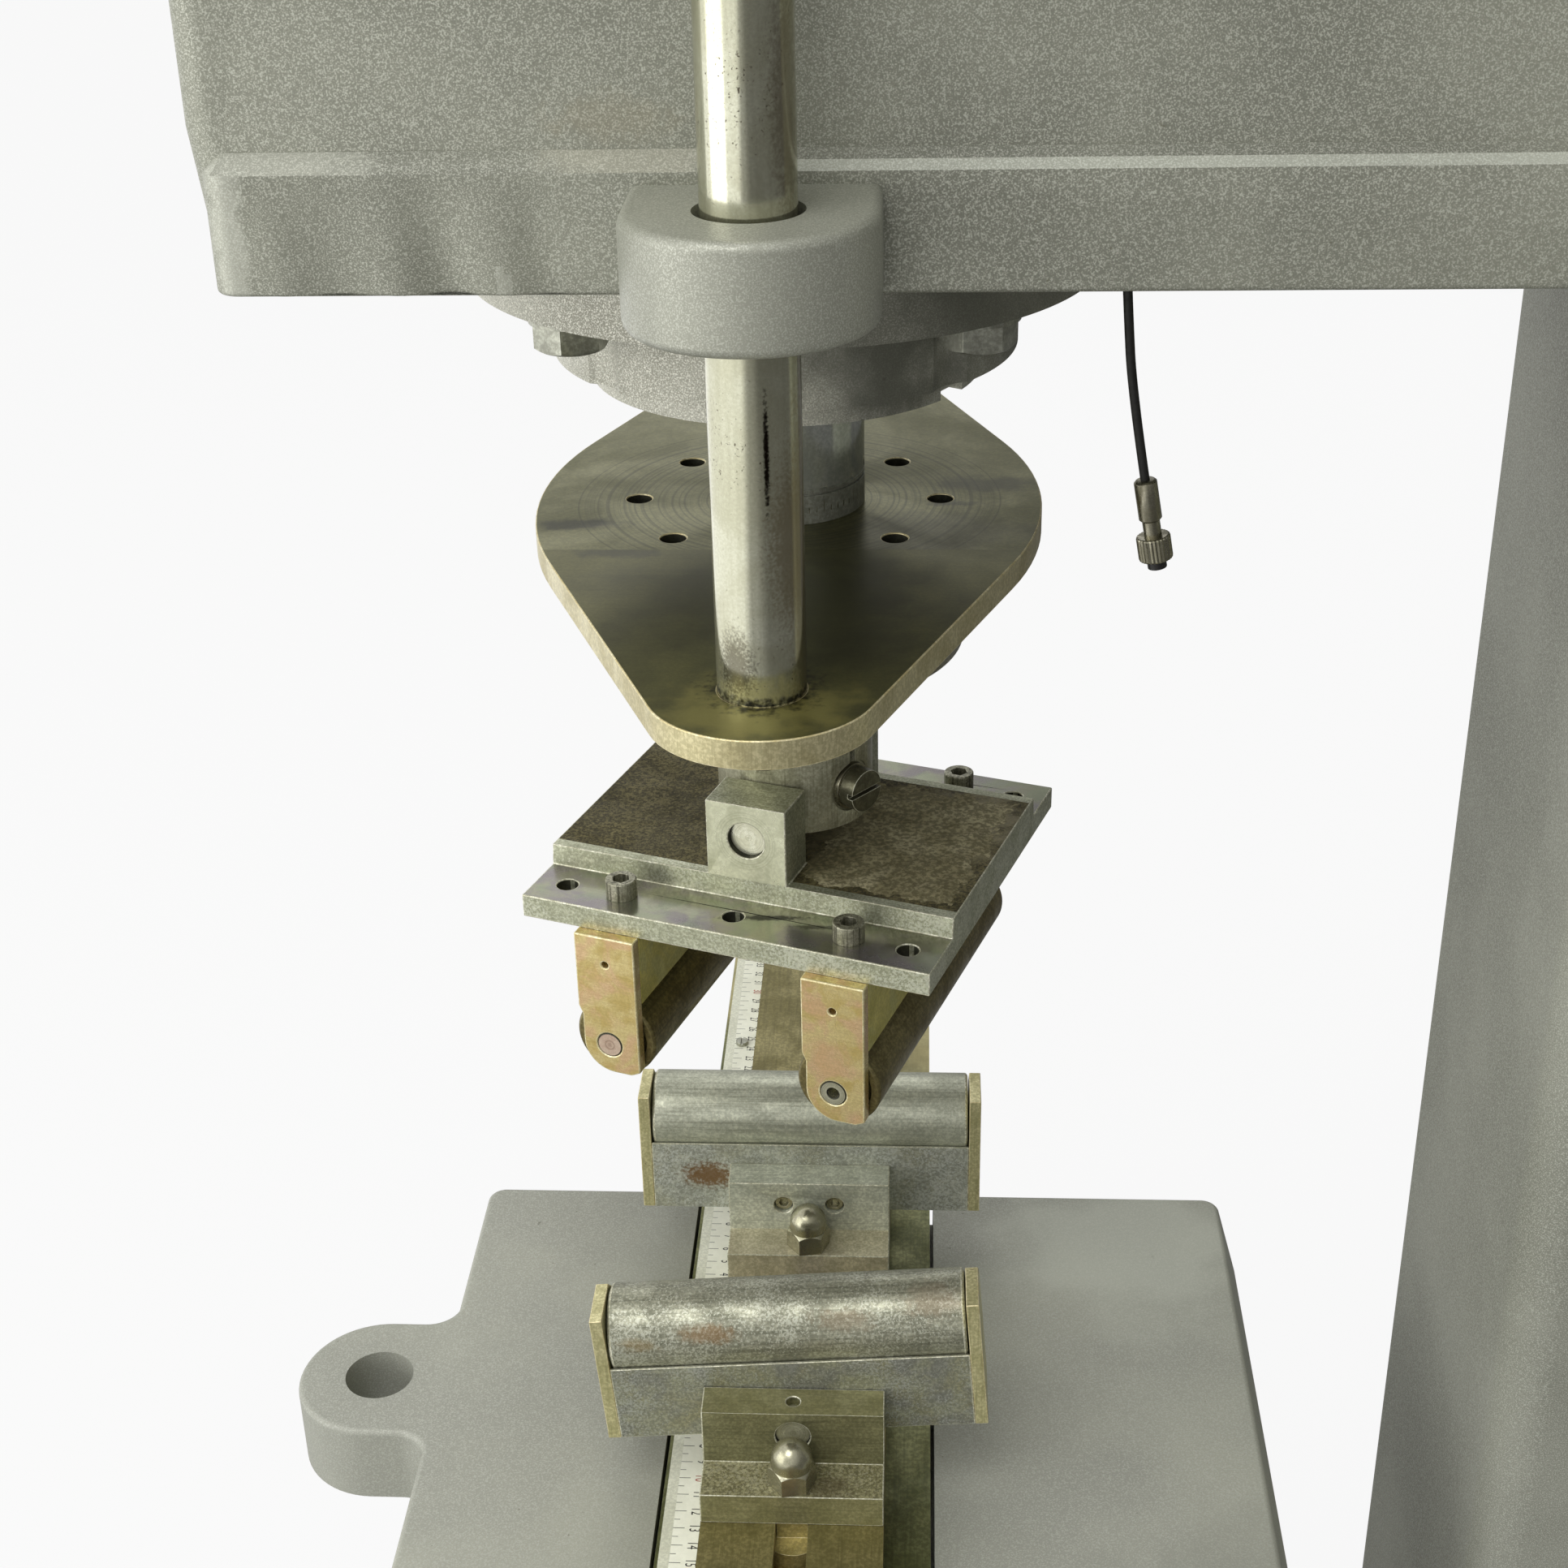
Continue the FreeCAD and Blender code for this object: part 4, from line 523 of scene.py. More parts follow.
# On the satin front of the guide plate, the large dark patch is painted shade, the gold patch at the front
# tip is a painted reflection, and the near-black ring round the guide rod is painted shade in the gap.
PLATE_SATIN = Steel("plate_satin", "69673f", "595836", "3b3b24", sheen="7c794a", sheen_share=0.4,
                    sheen_mm=70, blotch_mm=70, speck_mm=1.2, speck_share=0.2, way=Way.ALONG_X,
                    streak_mm=2.5, streak_share=0.12, smooth=0.3, dull=0.4, metal=0.7, bump_mm=0.01,
                    stains=(Stain((-62, -58, 866), 14, "3a3a2c", 0.6, 6, (0.7, 2.4, 1)),
                            Stain((0, -95, 866), 62, "3a3a26", 0.7, 40, (0.8, 1, 1)),
                            Stain((0, -192, 866), 30, "a29a58", 0.6, 14, (0.8, 1, 1)),
                            Stain((0, -177, 866), 21, "15140c", 0.95, 3)))
PLATE_EDGE = Steel("plate_edge", "cfc69c", "b9af85", "7d7550", blotch_mm=24, way=Way.ALONG_Z,
                   streak_mm=0.6, streak_share=0.25, smooth=0.3, dull=0.45, metal=0.6)
# The rod's near-black band where it meets the guide plate is painted shade.
ROD_PLATING = Steel("rod_plating", "cfcfba", "bfbea6", "97957c", blotch_mm=30, speck_mm=1.0,
                    speck_share=0.2, pit=0.06, pit_mm=1.1, way=Way.ALONG_Z, streak_mm=1.6,
                    streak_share=0.15, smooth=0.12, dull=0.17, metal=0.9, bump_mm=0.004,
                    stains=(Stain((14, -187, 920), 14, "8d8163", 0.7, 1.1, (1.1, 1, 0.4)),
                            Stain((17, -180, 900), 12, "a09474", 0.6, 2.0, (1.2, 1, 0.12)),
                            Stain((14, -186, 1060), 9, "6b5a44", 0.5, 2.0, (1.2, 1, 0.2)),
                            Stain((-9, -192, 880), 9, "3f3624", 0.7, 0.9, (1, 1, 0.6)),
                            Stain((4.5, -191.5, 952), 1.1, "1e170c", 1.0, 1.0, (1, 1, 0.05)),
                            Stain((0, -177, 867), 24, "15140c", 0.9, 2, (1, 1, 9))))
HUB_STEEL = Steel("hub_steel", "9a9784", "827f6c", "4e4b3a", blotch_mm=16, speck_share=0.4, smooth=0.3,
                  dull=0.5, metal=0.6)
SLEEVE_STEEL = Steel("sleeve_steel", "c0bea4", "a5a38a", "66644c", blotch_mm=14, way=Way.ALONG_Z,
                     streak_mm=0.9, smooth=0.24, dull=0.4, metal=0.55, bump_mm=0.01)
LOAD_ZINC = Steel("load_zinc", "c0c2a7", "abad93", "6f7059", blotch_mm=12, speck_mm=1.2, speck_share=0.5,
                  frost=0.5, frost_colour="d6d8c4", way=Way.ALONG_X, turn=ON_HEAD, streak_mm=1.0,
                  streak_share=0.25, smooth=0.3, dull=0.5, metal=0.7, bump_mm=0.02)
DECK_DARK = Steel("deck_dark", "605936", "4c4627", "292412", blotch_mm=22, sheen="7f764c",
                  sheen_share=0.5, sheen_mm=30, speck_mm=1.3, speck_share=0.8, frost=0.3, frost_mm=1.7,
                  frost_colour="948a5e", metal=0.1, smooth=0.65, dull=0.85, bump_mm=0.08,
                  stains=(Stain((47, -16, 720), 42, "989070", 0.7, 14),
                          Stain((76, 4, 720), 26, "a0987a", 0.6, 9)))
# The two round grey patches on the ledge are painted shadows; the two narrow black marks are smears.
LEDGE_SHEEN_AND_SHADOWS = Steel("ledge_sheen_and_shadows", "979783", "8e888a", "65654f", sheen="8d987c", sheen_share=0.5,
                    sheen_mm=22, blotch_mm=18, speck_mm=1.0, speck_share=0.12, way=Way.ALONG_X,
                    turn=ON_HEAD, streak_mm=0.9, streak_share=0.12, smooth=0.16, dull=0.3, metal=0.8,
                    bump_mm=0.006,
                    stains=(Stain((-8, -66, 711), 3.2, "25241e", 0.9, 2.5, (0.16, 1.3, 1)),
                            Stain((12, -73, 711), 2.6, "3a382e", 0.8, 2.0, (0.2, 1.3, 1)),
                            Stain((48, -88, 711), 9, "57554a", 0.5, 5, (0.8, 1, 1)),
                            Stain((-50, -52, 711), 9, "57554a", 0.4, 5, (0.8, 1, 1))))
LUG_TURNED = Steel("lug_turned", "cfd0b3", "babb9e", "7d7e64", blotch_mm=12, speck_share=0.2,
                   rings=Rings((0, 0, 738), ON_HEAD, Way.ALONG_Y, 1.1, 14), streak_share=0.45,
                   smooth=0.25, dull=0.42, metal=0.7, bump_mm=0.01)
PIN_STEEL = Steel("pin_steel", "ebebd3", "dad9be", "9b997e", blotch_mm=5, speck_share=0.15,
                  rings=Rings((0, 0, 738), ON_HEAD, Way.ALONG_Y, 0.8, 30), streak_share=0.4, smooth=0.22,
                  dull=0.36, metal=0.8, bump_mm=0.008)
# Dark colour for bores, holes, recesses and crevices: painted shade inside them.
BORE_SHADE = Steel("bore_shade", "3b3b2b", "2b2b1f", "17170f", blotch_mm=4, metal=0.3, smooth=0.5, dull=0.7)
AXLE_STEEL = Steel("axle_steel", "c4c2a8", "b2b096", "6f6d58", blotch_mm=5, speck_share=0.15,
                   rings=Rings((47.2, -16.4, 649), ON_HEAD, Way.ALONG_Y, 0.6, 9), streak_share=0.55,
                   smooth=0.2, dull=0.35, metal=0.85, bump_mm=0.008)
AXLE_COPPER = Steel("axle_copper", "dcc6ae", "ccb29c", "8b705c", blotch_mm=5, speck_share=0.1,
                    rings=Rings((-47.2, 16.4, 649), ON_HEAD, Way.ALONG_Y, 1.3, 9), streak_share=0.6,
                    smooth=0.18, dull=0.3, metal=0.85, bump_mm=0.008)
HOLDER_ZINC = Steel("holder_zinc", "c6bc60", "ada450", "6d6530", sheen="b3b377", sheen_share=0.5,
                    sheen_mm=24, blotch_mm=20, speck_share=0.3, smooth=0.35, dull=0.5, metal=0.4)
CHROMATE = Steel("chromate", "dfcd91", "c6b06e", "8f7b46", sheen="dfb594", sheen_share=0.6, sheen_mm=16,
                 blotch_mm=11, speck_mm=1.0, speck_share=0.22, way=Way.ALONG_X, turn=ON_HEAD,
                 streak_mm=0.5, streak_share=0.22, smooth=0.22, dull=0.34, metal=0.8, bump_mm=0.012,
                 stains=(Stain((-43, -62, 677), 6, "d5dbc6", 0.85, 3, (0.8, 1, 1)),
                         Stain((-52, -60, 650), 12, "c98d6c", 0.7, 6),
                         Stain((-44, -62, 694), 10, "805f30", 0.5, 1.5, (0.6, 1, 2.2)),
                         Stain((-36, -66, 664), 6, "ece3b2", 0.6, 4, (1.5, 1, 0.5)),
                         Stain((52, -90, 640), 12, "c58f6e", 0.6, 6),
                         Stain((42, -92, 690), 9, "e9e0b0", 0.5, 4, (1.5, 1, 0.6))))
CHROMATE_PALE = Steel("chromate_pale", "d9d2a2", "c4be8e", "817b52", blotch_mm=12, speck_share=0.4,
                      pit=0.02, pit_colour="5c4a30", way=Way.ALONG_Z, streak_mm=1.0, smooth=0.3, dull=0.5,
                      metal=0.6)
ROLLER_DARK = Steel("roller_dark", "8d8358", "766c44", "453d22", blotch_mm=14, speck_mm=1.6,
                    speck_share=0.5, way=Way.ALONG_Y, turn=ON_HEAD, streak_mm=1.1, smooth=0.3, dull=0.5,
                    metal=0.7)
ROLLER_GREY = Steel("roller_grey", "adad98", "92927f", "5a5b4a", blotch_mm=16, speck_mm=1.5,
                    speck_share=0.5, frost=0.6, frost_colour="c6c7b6", way=Way.ALONG_X, turn=ON_CRADLE,
                    streak_mm=1.4, streak_share=0.6, smooth=0.32, dull=0.52, metal=0.6, bump_mm=0.02,
                    stains=(Stain((-36, -104, 527), 7, "85602f", 0.5, 3.0, (0.5, 1, 1.4)),
                            Stain((-66, -104, 521), 6, "8c7440", 0.45, 3.0, (0.6, 1, 1.4)),
                            Stain((22, -104, 535), 8, "8a6c4c", 0.25, 3.0, (0.5, 1, 1.5)),
                            Stain((60, -98, 543), 10, "917a60", 0.3, 5, (0.6, 1, 1))))
ROLLER_BACK = Steel("roller_back", "d4d6c1", "bcbeab", "7b7d6c", blotch_mm=18, speck_mm=1.6,
                    speck_share=0.4, frost=0.45, frost_colour="cccdb9", way=Way.ALONG_X, streak_mm=1.6,
                    streak_share=0.5, smooth=0.3, dull=0.5, metal=0.6, bump_mm=0.02)
BAR_ZINC = Steel("bar_zinc", "a0a18a", "8b8c82", "5c5d4f", sheen="928c62", sheen_share=0.5, sheen_mm=24,
                 blotch_mm=16, speck_mm=1.5, speck_share=0.5, frost=0.6, frost_colour="b3b6ac",
                 smooth=0.38, dull=0.58, metal=0.5, bump_mm=0.02)
BAR_BACK = Steel("bar_back", "c3c5b6", "abada0", "727467", sheen="a7a27a", sheen_share=0.3, sheen_mm=24,
                 blotch_mm=16, speck_mm=1.5, speck_share=0.5, frost=0.65, frost_colour="ced1c8",
                 smooth=0.38, dull=0.58, metal=0.5, bump_mm=0.02,
                 stains=(Stain((-50, 52, 493), 9.5, "74501f", 0.85, 1.5, (0.6, 1, 1.1)),))
T_BOLT_GOLD = Steel("t_bolt_gold", "cbbd7e", "b0a262", "6a5f38", blotch_mm=9, smooth=0.3, dull=0.45,
                    metal=0.4)
PIVOT_STEEL = Steel("pivot_steel", "c9c7a9", "b1af90", "77755a", blotch_mm=5, speck_share=0.15,
                    rings=Rings((0, -123, 488), axis=Way.ALONG_Y, pitch_mm=0.7, reach_mm=30),
                    streak_share=0.5, smooth=0.25, dull=0.4, metal=0.5, bump_mm=0.01)
BLOCK_SHADE = Steel("block_shade", "8d8b67", "7a7856", "45442f", blotch_mm=14, speck_share=0.4,
                    way=Way.ALONG_X, streak_mm=0.9, streak_share=0.35, smooth=0.3, dull=0.5, metal=0.5,
                    bump_mm=0.01)
BACK_FOOT = Steel("back_foot", "d3ccb0", "bbb498", "7b7459", blotch_mm=12, speck_share=0.4, smooth=0.3,
                  dull=0.45, metal=0.5, bump_mm=0.01)
BLOCK_OLIVE = Steel("block_olive", "9f9c74", "8b885f", "56543a", blotch_mm=16, speck_share=0.35,
                    way=Way.ALONG_X, streak_mm=0.8, streak_share=0.3, smooth=0.3, dull=0.5, metal=0.5,
                    bump_mm=0.01)
# The foot's dark patch at the middle of its front is a painted shadow of the slot below; its white specks
# are worn chips.
FOOT_WORN_AND_SHADED = Steel("foot_worn_and_shaded", "9f9b76", "8b8761", "4e4a30", blotch_mm=10, speck_mm=1.4, speck_share=0.7,
                  frost=0.35, frost_colour="c9c6a8", smooth=0.4, dull=0.6, metal=0.35, bump_mm=0.02,
                  stains=(Stain((14, -137, 470), 9, "4b3f2a", 0.5, 3, (0.6, 1, 1)),))
BLOCK_BLUE = Steel("block_blue", "dde0cd", "c7cab7", "7d8070", blotch_mm=14, speck_share=0.4,
                   way=Way.ALONG_X, streak_mm=0.8, streak_share=0.3, smooth=0.3, dull=0.5, metal=0.45,
                   bump_mm=0.01)
CABLE_JACKET = Steel("cable_jacket", "1f1f1b", "191916", "10100e", blotch_mm=5, metal=0.0, smooth=0.5,
                     dull=0.65)
MARK_BLACK = Steel("mark_black", "2c2c28", "24241f", "181815", blotch_mm=5, metal=0.0, smooth=0.5,
                   dull=0.6)
MARK_RED = Steel("mark_red", "b05040", "a4483a", "803428", blotch_mm=5, metal=0.0, smooth=0.5, dull=0.6)
DUST = Steel("deck_dust", "a69e79", "8c8461", "544e34", blotch_mm=24, sheen="bfb793", sheen_share=0.6,
             sheen_mm=26, speck_mm=2.0, speck_share=0.7, metal=0.0, smooth=0.85, dull=0.95, bump_mm=0.25)


@dataclass
class FinishShop:
    """Makes each finish once and puts it on nodes and pieces."""

    made: dict[str, bpy.types.Material] = field(default_factory=dict)

    def material(self, finish: "Steel | CastPaint") -> bpy.types.Material:
        """Gives a finish's material, made on first use."""
        if finish.name not in self.made:
            self.made[finish.name] = finish.make()
        return self.made[finish.name]

    def coat(self, thing: bpy.types.Object, finish: "Steel | CastPaint") -> None:
        """Puts a finish on every material slot of an object.

        Args:
            thing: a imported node's object or a new piece.
            finish: what it is coated with.
        """
        material = self.material(finish)
        if not thing.material_slots:
            thing.data.materials.append(material)
        for slot in thing.material_slots:
            slot.material = material


def piece_from(mesh: bmesh.types.BMesh, name: str, body: Body) -> bpy.types.Object:
    """Makes a finished piece from a bmesh.

    Args:
        mesh: the shape, in metres and in its place; it is freed.
        name: the piece's name.
        body: the body that it rides on.

    Returns:
        The new object.
    """
    data = bpy.data.meshes.new(name)
    mesh.to_mesh(data)
    mesh.free()
    piece = bpy.data.objects.new(name, data)
    bpy.context.scene.collection.objects.link(piece)
    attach(piece, body.value)
    log.info("%s: %d faces", name, len(data.polygons))
    return piece


def node_copy(node: str) -> bmesh.types.BMesh:
    """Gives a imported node's shape with its loose triangles joined."""
    mesh = bmesh.new()
    mesh.from_mesh(frame["nodes"][node].data)
    bmesh.ops.remove_doubles(mesh, verts=mesh.verts, dist=1e-6)
    return mesh


def body_of(node: str) -> Body:
    """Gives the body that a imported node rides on."""
    for body, nodes in frame["record"]["behaviour"]["bodies"].items():
        if node in nodes:
            return Body(body)
    raise KeyError(node)


@dataclass(frozen=True)
class Zone:
    """The faces of a piece that take a finish of their own."""

    finish: "Steel | CastPaint"
    holds: Callable[[Vector, Vector], bool]


@dataclass(frozen=True)
class Cut:
    """A plane that splits a piece's faces, so that a zone can end there."""

    place: Vector
    normal: Vector


@dataclass
class Finished:
    """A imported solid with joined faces, broken edges and a smooth skin."""

    node: str
    finish: "Steel | CastPaint"
    edge: float = 0.3 * MM
    steps: int = 2
    crease: float = 33.0
    cuts: tuple[Cut, ...] = ()
    zones: tuple[Zone, ...] = ()
    rim: "Steel | CastPaint | None" = None
    free: bool = False

    def shape(self) -> bmesh.types.BMesh:
        """Joins the solid's triangles and splits its faces at the cuts.

        Returns:
            The shape that is finished.
        """
        mesh = node_copy(self.node)
        bmesh.ops.dissolve_limit(mesh, angle_limit=math.radians(0.2), verts=mesh.verts, edges=mesh.edges)
        for cut in self.cuts:
            bmesh.ops.bisect_plane(mesh, geom=mesh.verts[:] + mesh.edges[:] + mesh.faces[:], dist=1e-6,
                                   plane_co=cut.place, plane_no=cut.normal)
        return mesh

    def build(self, shop: "FinishShop") -> bpy.types.Object:
        """Makes the finished piece.

        Args:
            shop: where its finishes are made.

        Returns:
            The piece, which stands for its node.
        """
        mesh = self.shape()
        for face in mesh.faces:
            face.smooth = True
            middle = face.calc_center_median()
            for index, zone in enumerate(self.zones):
                if zone.holds(middle, face.normal):
                    face.material_index = index + 1
        piece = piece_from(mesh, self.node + "_finished", body_of(self.node))
        piece.data.set_sharp_from_angle(angle=math.radians(self.crease))
        if self.edge:
            bevel = piece.modifiers.new("broken_edges", "BEVEL")
            bevel.affect = "EDGES"
            bevel.width = self.edge
            bevel.segments = self.steps
            bevel.profile = 0.5
            bevel.material = len(self.zones) + 1 if self.rim else -1
            bevel.limit_method = "ANGLE"
            bevel.angle_limit = math.radians(self.crease)
            bevel.harden_normals = True
            bevel.use_clamp_overlap = not self.free
        for finish in (self.finish, *(zone.finish for zone in self.zones), self.rim):
            if finish:
                piece.data.materials.append(shop.material(finish))
        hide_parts(self.node)
        return piece


@dataclass
class Arm(Finished):
    """The cast arm with the hand-finished waves of its skirt."""

    left: float = -0.176
    right: float = -0.060
    low: float = 0.990
    high: float = 1.030
    front: float = -0.120
    crest: float = -0.1163
    pitch: float = 0.0360
    lean: float = 0.2
    depth: float = 2.3 * MM
    faint: float = 0.2
    left_fade: float = 22.0 * MM
    right_fade: float = 18.0 * MM
    fineness: float = 2.5 * MM

    def shape(self) -> bmesh.types.BMesh:
        """Splits the skirt's front finely and presses the waves into it.

        Returns:
            The shape that is finished.
        """
        mesh = super().shape()
        spans = ((self.left, self.right, Vector((1, 0, 0))), (self.low, self.high, Vector((0, 0, 1))))
        for start, end, normal in spans:
            for step in range(int((end - start) / self.fineness) + 1):
                place = normal * (start + step * self.fineness)
                faces = [face for face in mesh.faces if self.holds(face)]
                near = {item for face in faces for item in (*face.verts, *face.edges)} | set(faces)
                bmesh.ops.bisect_plane(mesh, geom=list(near), dist=1e-6, plane_co=place, plane_no=normal)
        for vert in mesh.verts:
            vert.co.y += self.wave(vert.co)
        return mesh

    def holds(self, face: bmesh.types.BMFace) -> bool:
        """Tells whether a face reaches into the waved part of the skirt."""
        places = [vert.co for vert in face.verts]
        return (max(place.y for place in places) < self.front and face.normal.y < -0.8
                and min(place.x for place in places) < self.right
                and max(place.z for place in places) < self.high)

    def wave(self, place: Vector) -> float:
        """Gives the push along Y of the waves at a place."""
        if place.y > self.front or not self.left < place.x < self.right or place.z > self.high:
            return 0.0
        ends = min(1.0, (place.x - self.left) / self.left_fade, (self.right - place.x) / self.right_fade)
        rise = math.cos(math.pi / 2 * (place.z - self.low) / (self.high - self.low))
        turn = (place.x - self.crest + self.lean * (place.z - self.low)) / self.pitch * math.tau
        strength = self.faint + (1 - self.faint) * (place.x - self.left) / (self.right - self.left)
        return -self.depth * (math.cos(turn) + 0.15 * math.sin(1.7 * turn)) * ends * rise * strength


@dataclass
class DeckDust:
    """The dry dust that lies on the right of the loading plate."""

    low_u: float = 0.016
    high_u: float = 0.087
    low_v: float = -0.0485
    high_v: float = 0.0485
    cell: float = 1.2 * MM
    height: float = 0.9 * MM

    def build(self, shop: "FinishShop") -> None:
        """Heaps the dust on the deck.

        Args:
            shop: where its finish is made.
        """
        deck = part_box("loading_plate")[1][2] - LUG_RISE
        columns = int((self.high_u - self.low_u) / self.cell)
        rows = int((self.high_v - self.low_v) / self.cell)
        mesh = bmesh.new()
        bmesh.ops.create_grid(mesh, x_segments=columns, y_segments=rows, size=0.5)
        middle = Vector(((self.low_u + self.high_u) / 2, (self.low_v + self.high_v) / 2, deck))
        size = Matrix.Diagonal((self.high_u - self.low_u, self.high_v - self.low_v, 1, 1))
        bmesh.ops.transform(mesh, matrix=Matrix.Translation(middle) @ size, verts=mesh.verts)
        for vert in mesh.verts:
            vert.co.z += self.heap(vert.co.x, vert.co.y)
        hidden = [face for face in mesh.faces if all(vert.co.z < deck - 0.1 * MM for vert in face.verts)]
        bmesh.ops.delete(mesh, geom=hidden, context="FACES")
        turn = Matrix.Rotation(-math.radians(HEAD_TURN), 4, "Z")
        bmesh.ops.transform(mesh, matrix=turn, verts=mesh.verts)
        for face in mesh.faces:
            face.smooth = True
        piece = piece_from(mesh, "deck_dust", Body.LOAD_PLATE)
        shop.coat(piece, DUST)

    def heap(self, u: float, v: float) -> float:
        """Gives the dust's height over the deck; below zero it is bare."""
        edge = min(u - self.low_u, self.high_u - u, v - self.low_v, self.high_v - v) / 0.010
        lumps = (math.sin(u * 310 + 2.1 * math.sin(v * 170)) + math.sin(v * 260 + 1.7 * math.sin(u * 230))
                 + 0.6 * math.sin(u * 900 + v * 700) + 0.5 * math.sin(u * 1300 - v * 1100))
        return self.height * (0.16 * lumps + min(1.0, edge) - 0.35)


@dataclass
class Ruler:
    """The centimetre marks on the rail's ruler."""

    first_cm: int = -39
    last_cm: int = 39
    lift: float = 0.05 * MM
    tick_width: float = 0.3 * MM
    long_tick: float = 5.0 * MM
    short_tick: float = 2.6 * MM
    figure_size: float = 7.0 * MM
    figure_inset: float = 3.9 * MM
    figure_narrowing: float = 0.66

    def build(self, shop: "FinishShop") -> None:
        """Prints the ticks and figures on the ruler's top.

        Args:
            shop: where the inks are made.
        """
        low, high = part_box("ruler")
        self.left, self.right, self.top = low[0] + RULER_BORDER, high[0], high[2] + self.lift
        ticks = bmesh.new()
        for half in range(self.first_cm * 2, self.last_cm * 2 + 1):
            self.tick(ticks, half * 5 * MM, self.short_tick if half % 2 else self.long_tick)
        shop.coat(self.slotted(piece_from(ticks, "ruler_ticks", Body.FRAME)), MARK_BLACK)
        self.figures(shop, "ruler_figures", MARK_BLACK, lambda cm: cm % 10 != 0)
        self.figures(shop, "ruler_tens", MARK_RED, lambda cm: cm % 10 == 0)

    def slotted(self, piece: bpy.types.Object) -> bpy.types.Object:
        """Gives the printed mark's piece back as it is."""
        return piece

    def tick(self, mesh: bmesh.types.BMesh, along: float, length: float) -> None:
        """Adds one tick that starts at the ruler's border."""
        made = bmesh.ops.create_grid(mesh, x_segments=1, y_segments=1, size=0.5)
        place = Matrix.Translation((self.left + length / 2, along, self.top))
        bmesh.ops.transform(mesh, matrix=place @ Matrix.Diagonal((length, self.tick_width, 1, 1)),
                            verts=made["verts"])

    def figures(self, shop: "FinishShop", name: str, ink: Steel, wanted: Callable[[int], bool]) -> None:
        """Prints the figures that one ink is used for.

        Args:
            shop: where the ink is made.
            name: the piece's name.
            ink: the figures' finish.
            wanted: tells whether a centimetre is printed in this ink.
        """
        whole = bmesh.new()
        narrow = Matrix.Diagonal((self.figure_narrowing, 1, 1, 1))
        for cm in range(self.first_cm, self.last_cm + 1):
            if not wanted(cm):
                continue
            curve = bpy.data.curves.new("figure", "FONT")
            curve.body = str(abs(cm))
            curve.size = self.figure_size
            curve.align_x = "CENTER"
            curve.align_y = "CENTER"
            curve.resolution_u = 3
            text = bpy.data.objects.new("figure", curve)
            flat = bpy.data.meshes.new_from_object(text)
            place = Vector((self.right - self.figure_inset, cm * 10 * MM, self.top))
            flat.transform(Matrix.Translation(place) @ Matrix.Rotation(-math.pi / 2, 4, "Z") @ narrow)
            whole.from_mesh(flat)
            bpy.data.objects.remove(text)
            bpy.data.curves.remove(curve)
        shop.coat(self.slotted(piece_from(whole, name, Body.FRAME)), ink)


@dataclass
class RamRing:
    """The graduated ring at the foot of the piston rod."""

    marks: int = 60
    long_every: int = 5
    depth: float = 0.12 * MM
    width: float = 0.35 * MM
    short_mark: float = 2.4 * MM
    long_mark: float = 4.4 * MM
    foot: float = 4.5 * MM

    def build(self, shop: FinishShop) -> None:
        """Engraves the marks round the ring.

        Args:
            shop: where the ink is made.
        """
        low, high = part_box("mark_ring")
        radius = (high[0] - low[0]) / 2
        foot = low[2] + self.foot
        mesh = bmesh.new()
        for mark in range(self.marks):
            height = self.long_mark if mark % self.long_every == 0 else self.short_mark
            made = bmesh.ops.create_cube(mesh, size=1)
            spin = Matrix.Rotation(math.tau * mark / self.marks, 4, "Z")
            place = Matrix.Translation((radius - self.depth / 4, 0, foot + height / 2))
            size = Matrix.Diagonal((self.depth, self.width, height, 1))
            bmesh.ops.transform(mesh, matrix=spin @ place @ size, verts=made["verts"])
        piece = piece_from(mesh, "ring_marks", Body.RAM)
        shop.coat(piece, NICKEL)


